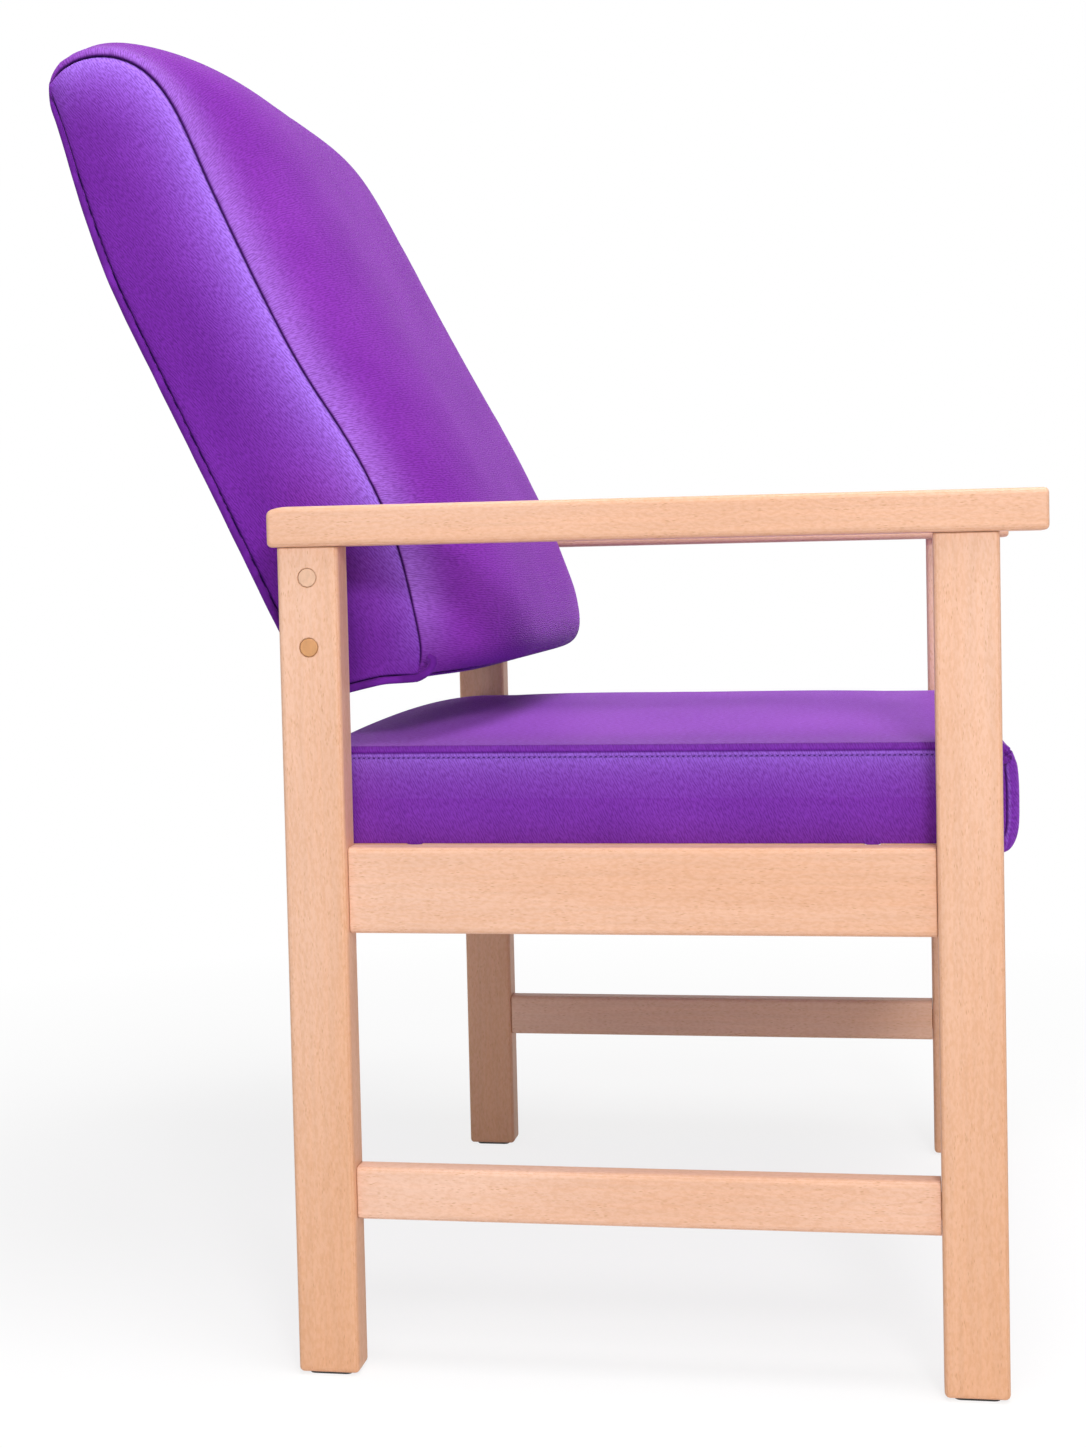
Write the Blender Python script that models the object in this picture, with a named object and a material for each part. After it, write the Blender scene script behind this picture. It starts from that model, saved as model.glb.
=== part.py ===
"""High-back lounge chair: two beech side frames carry an upholstered seat and a reclined back.

Units are metres and +Z is up. The chair faces -Y, and its right-hand side is at -X. The origin lies
on the floor, in the middle of the chair's bounding box. Two words are used for places along the
chair: "ahead" is the distance in front of the back of the rear legs, and "up" is the height above
the floor. The back is drawn in a frame of its own, tilted by the recline, in which "rise" runs up
the back and "forward" runs out of its rear face.
"""

import math

import bmesh
import bpy
import numpy as np
from mathutils import Matrix, Vector

# Side frames
frame_width = 0.640
frame_length = 0.530
leg_thickness = 0.029
leg_depth = 0.047
edge_radius = 0.0040
foot_radius = 0.0035

# Arms, which lie on top of the legs
arm_top = 0.657
arm_thickness = 0.030
arm_width = 0.050
arm_outer_overhang = 0.005
arm_rear_overhang = 0.006
arm_front_overhang = 0.034
arm_heel_length = 0.012
arm_heel_drop = 0.0030

# Rails and stretchers between the legs
seat_rail_top = 0.401
seat_rail_height = 0.065
side_rail_recess = 0.007
cross_rail_height = 0.062
cross_rail_thickness = 0.020
cross_rail_recess = 0.007
stretcher_top = 0.158
stretcher_height = 0.040
stretcher_thickness = 0.020
stretcher_recess = 0.0075

# Joinery
fit_gap = 0.0003
tenon_thickness = 0.010
tenon_shoulder = 0.010
tenon_radius = 0.0040
mortise_wall = 0.005
leg_skin = 0.012
arm_skin = 0.012
arm_tenon_shoulder = 0.008
cut_overrun = 0.004

# Seat support
block_leg = 0.060
block_nose = 0.014
block_height = 0.030
cleat_width = 0.020
cleat_height = 0.022
cleat_clearance = 0.012
board_thickness = 0.012
screw_head_radius = 0.0045
screw_head_height = 0.0032
screw_radius = 0.0022
screw_bite = 0.009
screw_clearance = 0.0004

# Glides under the legs
glide_height = 0.002
glide_length = 0.033
glide_width = 0.020
glide_radius = 0.0045
glide_stem_radius = 0.0040
glide_stem_length = 0.012

# Bolts that hold the back, each under a wooden cap in the outer face of a rear leg
bolt_ups = {"upper": 0.604, "lower": 0.552}
bolt_radius = 0.0040
bolt_head_radius = 0.0065
bolt_head_height = 0.0080
bolt_socket_radius = 0.0034
bolt_socket_depth = 0.0040
cap_radius = 0.0070
cap_thickness = 0.0060
cap_proud = 0.0003
cap_bevel = 0.0006
bolt_clearance = 0.0005
spacer_radius = 0.0140
insert_wall = 0.0020
insert_length = 0.0120

# Seat cushion
seat_side_gap = 0.0015
seat_rear_ahead = 0.012
seat_thickness = 0.072
seat_crown = 0.014
seat_front_overhang = 0.0133
seat_front_belly = 0.0006
seat_lip_drop = 0.010
seat_lip_radius = 0.0115
seat_nose_radius = 0.0125
seat_heel_radius = 0.014
seat_wall = 0.005

# Back cushion, in the back's own frame
recline = math.radians(22.5)
back_foot_ahead = 0.010
back_foot_up = 0.505
back_length = 0.530
back_thickness = 0.110
back_side_gap = 0.002
back_wall = 0.004
piping_radius = 0.0030
piping_gap = 0.0006
cover_thickness = 0.0020
cover_clearance = 0.0015

# Timber frame and webbing inside the back
cheek_thickness = 0.022
cheek_web = 0.0015
cheek_foot = 0.016
cheek_head = 0.032
cheek_depth = 0.066
cheek_top_depth = 0.042
cheek_shoulder = 0.150
back_rail_height = 0.040
back_rail_thickness = 0.020
back_rail_inset = 0.006
back_rail_margin = 0.024
web_width = 0.050
web_thickness = 0.0020
tapered_web_count = 3

# Outlines of the back in shares of its length and its thickness, from the top rear corner forward
# and down. One is the edge that is sewn to the side panel, and the other is the section half-way
# across the chair.
back_edge_shares = [
    (0.981, 0.023), (0.998, 0.109), (1.004, 0.255), (0.992, 0.473), (0.955, 0.659), (0.885, 0.755),
    (0.745, 0.768), (0.566, 0.805), (0.447, 0.855), (0.326, 0.955), (0.208, 0.991), (0.113, 0.950),
    (0.034, 0.891), (-0.006, 0.832), (-0.015, 0.755), (-0.006, 0.545), (0.003, 0.309), (0.011, 0.091),
]
back_middle_shares = [
    (1.022, 0.015), (1.061, 0.105), (1.081, 0.295), (1.032, 0.698), (0.964, 1.000), (0.890, 1.166),
    (0.744, 1.240), (0.565, 1.320), (0.447, 1.385), (0.335, 1.460), (0.199, 1.510), (0.090, 1.495),
    (0.002, 1.462), (-0.062, 1.290), (-0.045, 1.055), (-0.017, 0.545), (-0.002, 0.309), (0.011, 0.091),
]
back_rear_shares = [
    (0.011, 0.091), (0.113, 0.047), (0.332, -0.006), (0.530, -0.058), (0.660, -0.088), (0.745, -0.077),
    (0.830, -0.043), (0.915, 0.0),
]
seam_index = back_edge_shares.index((-0.015, 0.755))

# How finely the forms are drawn
corner_steps = 3
round_steps = 3
round_share = 0.9995
outline_steps = 3
across_count = 17
back_crown_power = 3.4
seat_across_power = 2.0
seat_along_power = 6.0
seat_top_count = 13

# Sizes that follow from the ones above
half_frame = frame_width / 2
leg_top = arm_top - arm_thickness - fit_gap
side_rail_thickness = leg_thickness - side_rail_recess
cross_tenon_depth = cross_rail_recess + (cross_rail_thickness + tenon_thickness) / 2
side_tenon_length = leg_depth - cross_tenon_depth - mortise_wall
cross_tenon_length = leg_thickness - leg_skin
arm_tenon_length = arm_thickness - arm_skin
cheek_tenon_length = cheek_thickness - insert_length - cheek_web
cheek_top = back_length - cheek_head
back_rail_rises = {
    "bottom": cheek_foot + back_rail_margin,
    "middle": (cheek_foot + cheek_top) / 2,
    "top": cheek_top - back_rail_margin,
}
half_inside = half_frame - leg_thickness
half_back = half_frame + arm_outer_overhang - arm_width - back_side_gap
half_pocket = half_back - back_wall
half_cheeks = half_pocket - fit_gap
half_seat = half_inside - seat_side_gap
seat_front_ahead = frame_length + seat_front_overhang
seat_foot_up = seat_rail_top + fit_gap
lip_ahead = frame_length - cross_rail_recess + seat_side_gap
leg_aheads = {"rear": leg_depth / 2, "front": frame_length - leg_depth / 2}
sides = {"right": -1, "left": 1}


def clear_scene():
    for item in list(bpy.data.objects):
        bpy.data.objects.remove(item, do_unlink=True)


def paint(name, colour, roughness, metallic=0.0):
    """A plain material that shows the colour of one of the chair's materials."""
    material = bpy.data.materials.new(name)
    material.use_nodes = True
    shader = material.node_tree.nodes["Principled BSDF"]
    shader.inputs["Base Color"].default_value = (*colour, 1.0)
    shader.inputs["Roughness"].default_value = roughness
    shader.inputs["Metallic"].default_value = metallic
    material.diffuse_color = (*colour, 1.0)
    return material


def spot(x, ahead, up):
    """A place in the chair's frame, where ahead runs along -Y."""
    return Vector((x, -ahead, up))


def add_object(name, mesh, parent, location, material=None):
    item = bpy.data.objects.new(name, mesh)
    bpy.context.scene.collection.objects.link(item)
    item.parent = parent
    item.location = location
    if material:
        mesh.materials.append(material)
        mesh.shade_smooth()
        mesh.set_sharp_from_angle(angle=math.radians(35.0))
    return item


def add_empty(name, parent=None, location=(0.0, 0.0, 0.0)):
    item = bpy.data.objects.new(name, None)
    bpy.context.scene.collection.objects.link(item)
    item.parent = parent
    item.location = location
    return item


def loft(rings, name):
    """A closed mesh through rings that have the same number of points, with a flat face at each end."""
    body = bmesh.new()
    loops = [[body.verts.new(point) for point in ring] for ring in rings]
    for near, far in zip(loops, loops[1:]):
        for index, corner in enumerate(near):
            body.faces.new((near[index - 1], corner, far[index], far[index - 1]))
    body.faces.new(loops[0])
    body.faces.new(loops[-1])
    bmesh.ops.recalc_face_normals(body, faces=body.faces)
    mesh = bpy.data.meshes.new(name)
    body.to_mesh(mesh)
    body.free()
    return mesh


def rounded_ring(first, second, radius):
    """Points round a rectangle with rounded corners, in order, starting on its first side."""
    quarter = np.linspace(0.0, math.pi / 2, corner_steps + 1)
    centre = (first / 2 - radius, second / 2 - radius)
    points = []
    for turn, (sign_first, sign_second) in enumerate(((1, 1), (-1, 1), (-1, -1), (1, -1))):
        for angle in quarter + turn * math.pi / 2:
            across = sign_first * centre[0] + radius * math.cos(angle)
            points.append((across, sign_second * centre[1] + radius * math.sin(angle)))
    return points


def bar(name, axis, stations):
    """A bar along an axis, through stations that run one way along it.

    A station is its place on the axis, then the section's two sides and its corner radius. The two
    sides are given in the order X, Y, Z, without the bar's own axis.
    """
    rings = []
    for along, first, second, radius in stations:
        ring = [list(point) for point in rounded_ring(first, second, radius)]
        for point in ring:
            point.insert("XYZ".index(axis), along)
        rings.append(ring)
    return loft(rings, name)


def eased_end(end, inward, first, second, corner, radius):
    """Stations that round over a bar's end, from the end itself to its full section."""
    stations = []
    for angle in np.linspace(0.0, math.pi / 2, round_steps + 1):
        inset = radius * (1 - math.sin(angle))
        along = end + inward * radius * (1 - math.cos(angle))
        stations.append((along, first - 2 * inset, second - 2 * inset, corner - inset))
    return stations


def tenoned(length, first, second, corner, tenon, tenon_length):
    """Stations of a bar with a tenon on each end; tenon gives the tenon's two sides."""
    half = length / 2
    near = [(-half - tenon_length, *tenon, tenon_radius), (-half, *tenon, tenon_radius)]
    body = [(-half, first, second, corner), (half, first, second, corner)]
    far = [(half, *tenon, tenon_radius), (half + tenon_length, *tenon, tenon_radius)]
    return near + body + far


def disc(along, radius):
    """A round station of a bar: a square whose corner radius is all but half its side."""
    side = 2 * radius
    return (along, side, side, radius * round_share)


def cut(target, name, mesh, parent, location):
    """Take a hidden shape away from a piece."""
    cutter = add_object(f"{target.name}.{name}", mesh, parent, location)
    cutter.hide_render = True
    cutter.display_type = "WIRE"
    modifier = target.modifiers.new(name, "BOOLEAN")
    modifier.operation = "DIFFERENCE"
    modifier.solver = "EXACT"
    modifier.object = cutter
    return cutter


def mortise(target, name, axis, face, inward, section, depth, location):
    """Cut the hole for a tenon of the given section, from a face at zero on the axis towards inward."""
    first, second = (side + 2 * fit_gap for side in section)
    stations = [
        (face - inward * cut_overrun, first, second, tenon_radius),
        (face + inward * (depth + fit_gap), first, second, tenon_radius),
    ]
    cut(target, name, bar(f"{target.name}.{name}", axis, stations), target.parent, location)


def side_tenon(height):
    """Section of the tenon on a rail that runs along the chair."""
    return (tenon_thickness, height - 2 * tenon_shoulder)


def add_leg(side, place, chair, beech):
    """One leg, with its arm tenon on top and mortises for the rails that meet it."""
    sign = sides[side]
    middle = leg_aheads[place]
    inner = -1 if place == "front" else 1
    body = eased_end(glide_height, 1, leg_thickness, leg_depth, edge_radius, foot_radius)
    arm_tenon = (tenon_thickness, leg_depth - 2 * arm_tenon_shoulder, tenon_radius)
    body.append((leg_top, leg_thickness, leg_depth, edge_radius))
    body.append((leg_top, *arm_tenon))
    body.append((leg_top + arm_tenon_length, *arm_tenon))
    across = sign * (half_frame - leg_thickness / 2)
    name = f"{place}_leg_{side}"
    leg = add_object(name, bar(name, "Z", body), chair, spot(across, middle, 0.0), beech)

    rail_across = sign * (half_frame - side_rail_recess - side_rail_thickness / 2)
    stretcher_across = sign * (half_frame - stretcher_recess - stretcher_thickness / 2)
    face_ahead = middle + inner * leg_depth / 2
    rows = {
        "rail_mortise": (rail_across, seat_rail_top - seat_rail_height / 2, seat_rail_height),
        "stretcher_mortise": (stretcher_across, stretcher_top - stretcher_height / 2, stretcher_height),
    }
    for row, (row_across, row_up, height) in rows.items():
        place_of_cut = spot(row_across, face_ahead, row_up)
        mortise(leg, row, "Y", 0.0, inner, side_tenon(height), side_tenon_length, place_of_cut)
    cross_up = seat_rail_top - cross_rail_height / 2
    cross_place = spot(sign * half_inside, cross_rail_ahead(place), cross_up)
    cross_tenon = side_tenon(cross_rail_height)
    mortise(leg, "cross_mortise", "X", 0.0, sign, cross_tenon, cross_tenon_length, cross_place)
    stem = [
        disc(glide_height - cut_overrun, glide_stem_radius + fit_gap),
        disc(glide_height + glide_stem_length + fit_gap, glide_stem_radius + fit_gap),
    ]
    cut(leg, "glide_hole", bar(f"{name}.glide_hole", "Z", stem), chair, spot(across, middle, 0.0))
    return leg


def cross_rail_ahead(place):
    """Where the front or rear seat rail's centre line lies."""
    inset = cross_rail_recess + cross_rail_thickness / 2
    return frame_length - inset if place == "front" else inset


def add_arm(side, chair, beech):
    """One arm, laid on its two legs, with its rear end eased down like a sanded heel."""
    sign = sides[side]
    rear = arm_rear_overhang
    front = -frame_length - arm_front_overhang
    stations = eased_end(front, 1, arm_width, arm_thickness, edge_radius, foot_radius)
    for share in np.linspace(0.0, 1.0, round_steps + 1):
        along = rear - foot_radius - arm_heel_length * (1 - share)
        stations.append((along, arm_width, arm_thickness, edge_radius))
    heel = eased_end(rear, -1, arm_width, arm_thickness, edge_radius, foot_radius)
    stations += heel[::-1][1:]
    name = f"arm_{side}"
    mesh = bar(name, "Y", stations)
    for vertex in mesh.vertices:
        reach = max(0.0, 1 - (rear - vertex.co.y) / (foot_radius + arm_heel_length))
        if vertex.co.z > 0.0:
            vertex.co.z -= arm_heel_drop * reach * reach
    across = sign * (half_frame + arm_outer_overhang - arm_width / 2)
    arm = add_object(name, mesh, chair, spot(across, 0.0, arm_top - arm_thickness / 2), beech)
    tenon = (tenon_thickness, leg_depth - 2 * arm_tenon_shoulder)
    for place, ahead in leg_aheads.items():
        at_leg = spot(sign * (half_frame - leg_thickness / 2), ahead, arm_top - arm_thickness)
        mortise(arm, f"{place}_mortise", "Z", 0.0, 1, tenon, arm_tenon_length, at_leg)


def add_side_rails(side, chair, beech):
    """The seat rail and the lower stretcher of one side frame."""
    sign = sides[side]
    length = frame_length - 2 * leg_depth - 2 * fit_gap
    rows = {
        "side_rail": (side_rail_recess, side_rail_thickness, seat_rail_top, seat_rail_height),
        "side_stretcher": (stretcher_recess, stretcher_thickness, stretcher_top, stretcher_height),
    }
    for row, (recess, thickness, top, height) in rows.items():
        name = f"{row}_{side}"
        stations = tenoned(length, thickness, height, edge_radius, side_tenon(height), side_tenon_length)
        across = sign * (half_frame - recess - thickness / 2)
        location = spot(across, frame_length / 2, top - height / 2)
        add_object(name, bar(name, "Y", stations), chair, location, beech)


def add_cross_rail(place, chair, beech):
    length = 2 * half_inside - 2 * fit_gap
    tenon = side_tenon(cross_rail_height)
    thickness = cross_rail_thickness
    stations = tenoned(length, thickness, cross_rail_height, edge_radius, tenon, cross_tenon_length)
    location = spot(0.0, cross_rail_ahead(place), seat_rail_top - cross_rail_height / 2)
    name = f"{place}_rail"
    add_object(name, bar(name, "X", stations), chair, location, beech)


def prism(name, outline, low, high, axis="Z"):
    """A flat outline carried from low to high along an axis."""
    rings = []
    for level in (low, high):
        ring = [list(point) for point in outline]
        for point in ring:
            point.insert("XYZ".index(axis), level)
        rings.append(ring)
    return loft(rings, name)


def screw_offset():
    """How far a seat screw stands from the two rails of its corner."""
    return (block_leg + block_nose) / 4


def add_corner(side, place, chair, beech, steel):
    """A corner block in the seat frame and the screw that goes up through it into the seat board."""
    sign = sides[side]
    forward = -1 if place == "front" else 1
    inner_face = cross_rail_ahead(place) + forward * (cross_rail_thickness / 2 + fit_gap)
    corner = spot(sign * (half_inside - fit_gap), inner_face, seat_rail_top - block_height)
    shape = [(0.0, 0.0), (block_leg, 0.0), (block_leg, block_nose)]
    shape += [(block_nose, block_leg), (0.0, block_leg)]
    outline = [(-sign * first, -forward * second) for first, second in shape]
    name = f"corner_block_{place}_{side}"
    block = add_object(name, prism(name, outline, 0.0, block_height), chair, corner, beech)

    inset = screw_offset()
    centre = corner + Vector((-sign * inset, -forward * inset, 0.0))
    clear = screw_clearance
    length = block_height + fit_gap + screw_bite
    shank = [
        disc(0.0, screw_head_radius),
        disc(screw_head_height, screw_radius),
        disc(length - screw_radius, screw_radius),
        disc(length, screw_radius / 4),
    ]
    wide = screw_head_radius + clear
    narrow = screw_radius + clear
    countersink = [
        disc(-cut_overrun, wide),
        disc(clear, wide),
        disc(screw_head_height + clear, narrow),
        disc(block_height + cut_overrun, narrow),
    ]
    cut(block, "screw_hole", bar(f"{name}.screw_hole", "Z", countersink), chair, centre)
    name = f"seat_screw_{place}_{side}"
    add_object(name, bar(name, "Z", shank), chair, centre + Vector((0.0, 0.0, clear)), steel)
    return centre


def add_cleat(side, chair, beech):
    """The bearer along a side rail, between the corner blocks, that the seat board rests on."""
    sign = sides[side]
    front = cross_rail_ahead("front") - cross_rail_thickness / 2 - block_leg - cleat_clearance
    rear = cross_rail_ahead("rear") + cross_rail_thickness / 2 + block_leg + cleat_clearance
    half = (front - rear) / 2
    corner = edge_radius / 2
    stations = [(-half, cleat_width, cleat_height, corner), (half, cleat_width, cleat_height, corner)]
    across = sign * (half_inside - fit_gap - cleat_width / 2)
    location = spot(across, (front + rear) / 2, seat_rail_top - cleat_height / 2)
    name = f"seat_cleat_{side}"
    add_object(name, bar(name, "Y", stations), chair, location, beech)


def add_glide(side, place, chair, plastic):
    """The hard plastic glide under a leg, with the stem that holds it in the leg."""
    sign = sides[side]
    top = glide_height - fit_gap
    pad = (glide_width, glide_length, glide_radius)
    stations = [
        (0.0, *pad),
        (top, *pad),
        disc(top, glide_stem_radius),
        disc(glide_height + glide_stem_length - fit_gap, glide_stem_radius),
    ]
    across = sign * (half_frame - leg_thickness / 2)
    name = f"glide_{place}_{side}"
    add_object(name, bar(name, "Z", stations), chair, spot(across, leg_aheads[place], 0.0), plastic)


def blend_curve(points, steps):
    """A smooth curve through points, with a number of steps from one point to the next."""
    points = np.asarray(points, dtype=float)
    ends = np.concatenate([2 * points[:1] - points[1:2], points, 2 * points[-1:] - points[-2:-1]])
    share = (np.arange(steps) / steps)[:, None]
    pieces = []
    for before, start, end, after in zip(ends, ends[1:], ends[2:], ends[3:]):
        pull = (end - before) / 2
        push = (after - start) / 2
        lead = (2 * share**3 - 3 * share**2 + 1) * start + (share**3 - 2 * share**2 + share) * pull
        pieces.append(lead + (-2 * share**3 + 3 * share**2) * end + (share**3 - share**2) * push)
    pieces.append(points[-1:])
    return np.concatenate(pieces)


def back_scale(shares):
    return np.asarray(shares) * (back_length, back_thickness)


def crown(across_share, power):
    """One at the middle of a cushion, falling to zero at its sides."""
    return 1 - abs(across_share) ** power


def front_curve(level):
    """The back's outline at a crown level, from the top rear corner over the front to the bottom."""
    edge = back_scale(back_edge_shares)
    middle = back_scale(back_middle_shares)
    return blend_curve(edge + (middle - edge) * level, outline_steps)


def rear_curve(level):
    """The rear line of the back at a crown level, from the bottom rear corner up to the top one."""
    top = front_curve(level)[0]
    points = back_scale(back_rear_shares)
    points[:, 0] *= top[0] / back_scale(back_edge_shares)[0][0]
    return np.concatenate([points, top[None]])


def rear_forward(rise):
    """How far forward the rear line lies at a rise, at the side of the back."""
    line = rear_curve(0.0)
    return float(np.interp(rise, line[:, 0], line[:, 1]))


def back_point(x, rise, forward):
    return (x, -forward, rise)


def across_shares(count):
    """Places from -1 to 1, set closer together towards both sides."""
    return np.sin(np.linspace(-math.pi / 2, math.pi / 2, count))


def cheek_front(rise):
    """The front edge of a back cheek: deep where the bolts go in, then drawn in towards the top."""
    return float(np.interp(rise, (cheek_shoulder, cheek_top), (cheek_depth, cheek_top_depth)))


def cheek_outline(clear, rear_clear):
    """The cheek's outline, grown by clear on its ends and front and by rear_clear at its rear edge."""
    foot = cheek_foot - clear
    top = cheek_top + clear
    rises = np.linspace(top, foot, len(back_rear_shares) + 1)
    points = [(foot, cheek_front(foot) + clear), (cheek_shoulder, cheek_depth + clear)]
    points.append((top, cheek_front(top) + clear))
    points += [(rise, rear_forward(rise) - rear_clear) for rise in rises]
    return points


def add_back_cushion(back, vinyl):
    """The foam of the back in its front and side covers, with a pocket behind for the timber frame."""
    rings = []
    for share in across_shares(across_count):
        level = crown(share, back_crown_power)
        section = np.concatenate([front_curve(level), rear_curve(level)[1:-1]])
        rings.append([back_point(share * half_back, rise, forward) for rise, forward in section])
    cushion = add_object("back_cushion", loft(rings, "back_cushion"), back, (0.0, 0.0, 0.0), vinyl)
    depth = web_thickness + 2 * fit_gap
    outline = [(-forward, rise) for rise, forward in cheek_outline(depth, back_thickness / 2)]
    pocket = prism("back_cushion.pocket", outline, -half_pocket, half_pocket, "X")
    cut(cushion, "pocket", pocket, back, (0.0, 0.0, 0.0))
    return cushion


def add_cheek(side, back, ply):
    """One shaped side member of the back's timber frame."""
    sign = sides[side]
    outline = [(-forward, rise) for rise, forward in cheek_outline(0.0, -fit_gap)]
    low, high = sorted((sign * half_cheeks, sign * (half_cheeks - cheek_thickness)))
    name = f"back_cheek_{side}"
    return add_object(name, prism(name, outline, low, high, "X"), back, (0.0, 0.0, 0.0), ply)


def add_back_rail(row, rise, back, cheeks, beech):
    """A rail across the back's timber frame, tenoned into both cheeks."""
    half = half_cheeks - cheek_thickness - fit_gap
    forward = rear_forward(rise) + back_rail_inset + back_rail_thickness / 2
    tenon = side_tenon(back_rail_height)
    body = (back_rail_thickness, back_rail_height, edge_radius)
    stations = tenoned(2 * half, *body, tenon, cheek_tenon_length)
    name = f"back_{row}_rail"
    centre = Vector(back_point(0.0, rise, forward))
    add_object(name, bar(name, "X", stations), back, centre, beech)
    for side, cheek in cheeks.items():
        face = Vector((sides[side] * (half_cheeks - cheek_thickness), 0.0, 0.0))
        mortise(cheek, f"{row}_mortise", "X", 0.0, sides[side], tenon, cheek_tenon_length, centre + face)


def add_webs(back, webbing):
    """Elastic webs that span the cheeks' front edges and carry the foam."""
    tapered = (cheek_top - cheek_shoulder) / tapered_web_count
    rises = [(cheek_foot + cheek_shoulder) / 2]
    rises += [cheek_shoulder + tapered * (index + 0.5) for index in range(tapered_web_count)]
    lean = math.atan2(cheek_depth - cheek_top_depth, cheek_top - cheek_shoulder)
    corner = web_thickness / 4
    for index, rise in enumerate(rises):
        half = half_pocket - fit_gap
        name = f"back_web_{index + 1}"
        stations = [(-half, web_thickness, web_width, corner), (half, web_thickness, web_width, corner)]
        forward = cheek_front(rise) + fit_gap + web_thickness / 2
        place = back_point(0.0, rise, forward)
        web = add_object(name, bar(name, "X", stations), back, place, webbing)
        web.rotation_euler.x = -lean if index else 0.0


def skin_path(level, last_index):
    """The back's rear and underside at a crown level, from the top down and on to an outline point."""
    under = front_curve(level)[last_index * outline_steps :][::-1]
    return np.concatenate([rear_curve(level)[::-1], under[1:]])


def offset_path(path, distance):
    """A path moved outward, away from the cushion, by a distance that its corners keep too."""
    runs = np.diff(path, axis=0)
    runs /= np.hypot(runs[:, 0], runs[:, 1])[:, None]
    outward = np.stack([-runs[:, 1], runs[:, 0]], axis=1)
    before = np.concatenate([outward[:1], outward])
    after = np.concatenate([outward, outward[-1:]])
    bisector = before + after
    mitre = 1 + (before * after).sum(axis=1)
    return path + bisector / mitre[:, None] * distance


def travel_of(path):
    """The distance along a path at each of its points."""
    return np.concatenate([[0.0], np.cumsum(np.linalg.norm(np.diff(path, axis=0), axis=1))])


def section_places(half):
    """The back cushion's sections that lie between two ends, and the ends themselves."""
    inside = [share * half_back for share in across_shares(across_count) if abs(share) * half_back < half]
    return [-half, *inside, half]


def add_outer_cover(back, vinyl):
    """The outer cover, one thin skin that runs down the rear of the back and forward under it."""
    trim = 2 * piping_radius + cover_clearance
    side_travel = travel_of(skin_path(0.0, seam_index))
    kept = (side_travel > 2 * trim) & (side_travel < side_travel[-1] - 2 * trim)
    rings = []
    for x in section_places(half_back - trim):
        path = skin_path(crown(x / half_back, back_crown_power), seam_index)
        travel = travel_of(path)
        stops = np.concatenate([[trim], travel[kept], [travel[-1] - trim]])
        path = np.stack([np.interp(stops, travel, path[:, axis]) for axis in range(2)], axis=1)
        outer = offset_path(path, fit_gap + cover_thickness)
        section = np.concatenate([offset_path(path, fit_gap), outer[::-1]])
        rings.append([back_point(x, rise, forward) for rise, forward in section])
    add_object("back_outer_cover", loft(rings, "back_outer_cover"), back, (0.0, 0.0, 0.0), vinyl)


def piping_line(x):
    """The line that the piping lies on at x, from over the top rear corner to round the front seam."""
    reach = piping_radius + piping_gap
    path = skin_path(crown(x / half_back, back_crown_power), seam_index - 1)
    over_corner = path[0] + reach * np.array([math.cos(math.pi / 4), -math.sin(math.pi / 4)])
    return np.concatenate([over_corner[None], offset_path(path, reach)])


def piping_place(x, run):
    """A place on the piping's line at x, a run down from its top end."""
    line = piping_line(x)
    travel = travel_of(line)
    return back_point(x, *(float(np.interp(run, travel, line[:, axis])) for axis in range(2)))


def piping_route():
    """The piping's line: up one side, over the top with rounded corners, and down the other side."""
    half = half_back - piping_radius
    turn = 2 * piping_radius
    bend = [turn * (1 - math.cos(angle)) for angle in np.linspace(0.0, math.pi / 2, round_steps + 1)]
    corner = list(zip(bend, bend[::-1]))
    top = [(-half + x, run) for x, run in corner]
    top += [(x, 0.0) for x in section_places(half - turn)[1:-1]]
    top += [(half - x, run) for x, run in corner[::-1]]
    side = [run for run in travel_of(piping_line(half)) if run > turn + piping_radius]
    right = [(-half, run) for run in side[::-1]]
    left = [(half, run) for run in side]
    return [piping_place(x, run) for x, run in right + top + left]


def add_piping(back, vinyl):
    """The covered cord round the outer cover. Each end is tucked up in front of a lower corner."""
    curve = bpy.data.curves.new("back_piping", "CURVE")
    curve.dimensions = "3D"
    curve.bevel_depth = piping_radius
    curve.bevel_resolution = 2
    route = piping_route()
    spline = curve.splines.new("POLY")
    spline.points.add(len(route) - 1)
    for point, place in zip(spline.points, route):
        point.co = (*place, 1.0)
    curve.use_fill_caps = True
    curve.materials.append(vinyl)
    add_object("back_piping", curve, back, (0.0, 0.0, 0.0))


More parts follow.
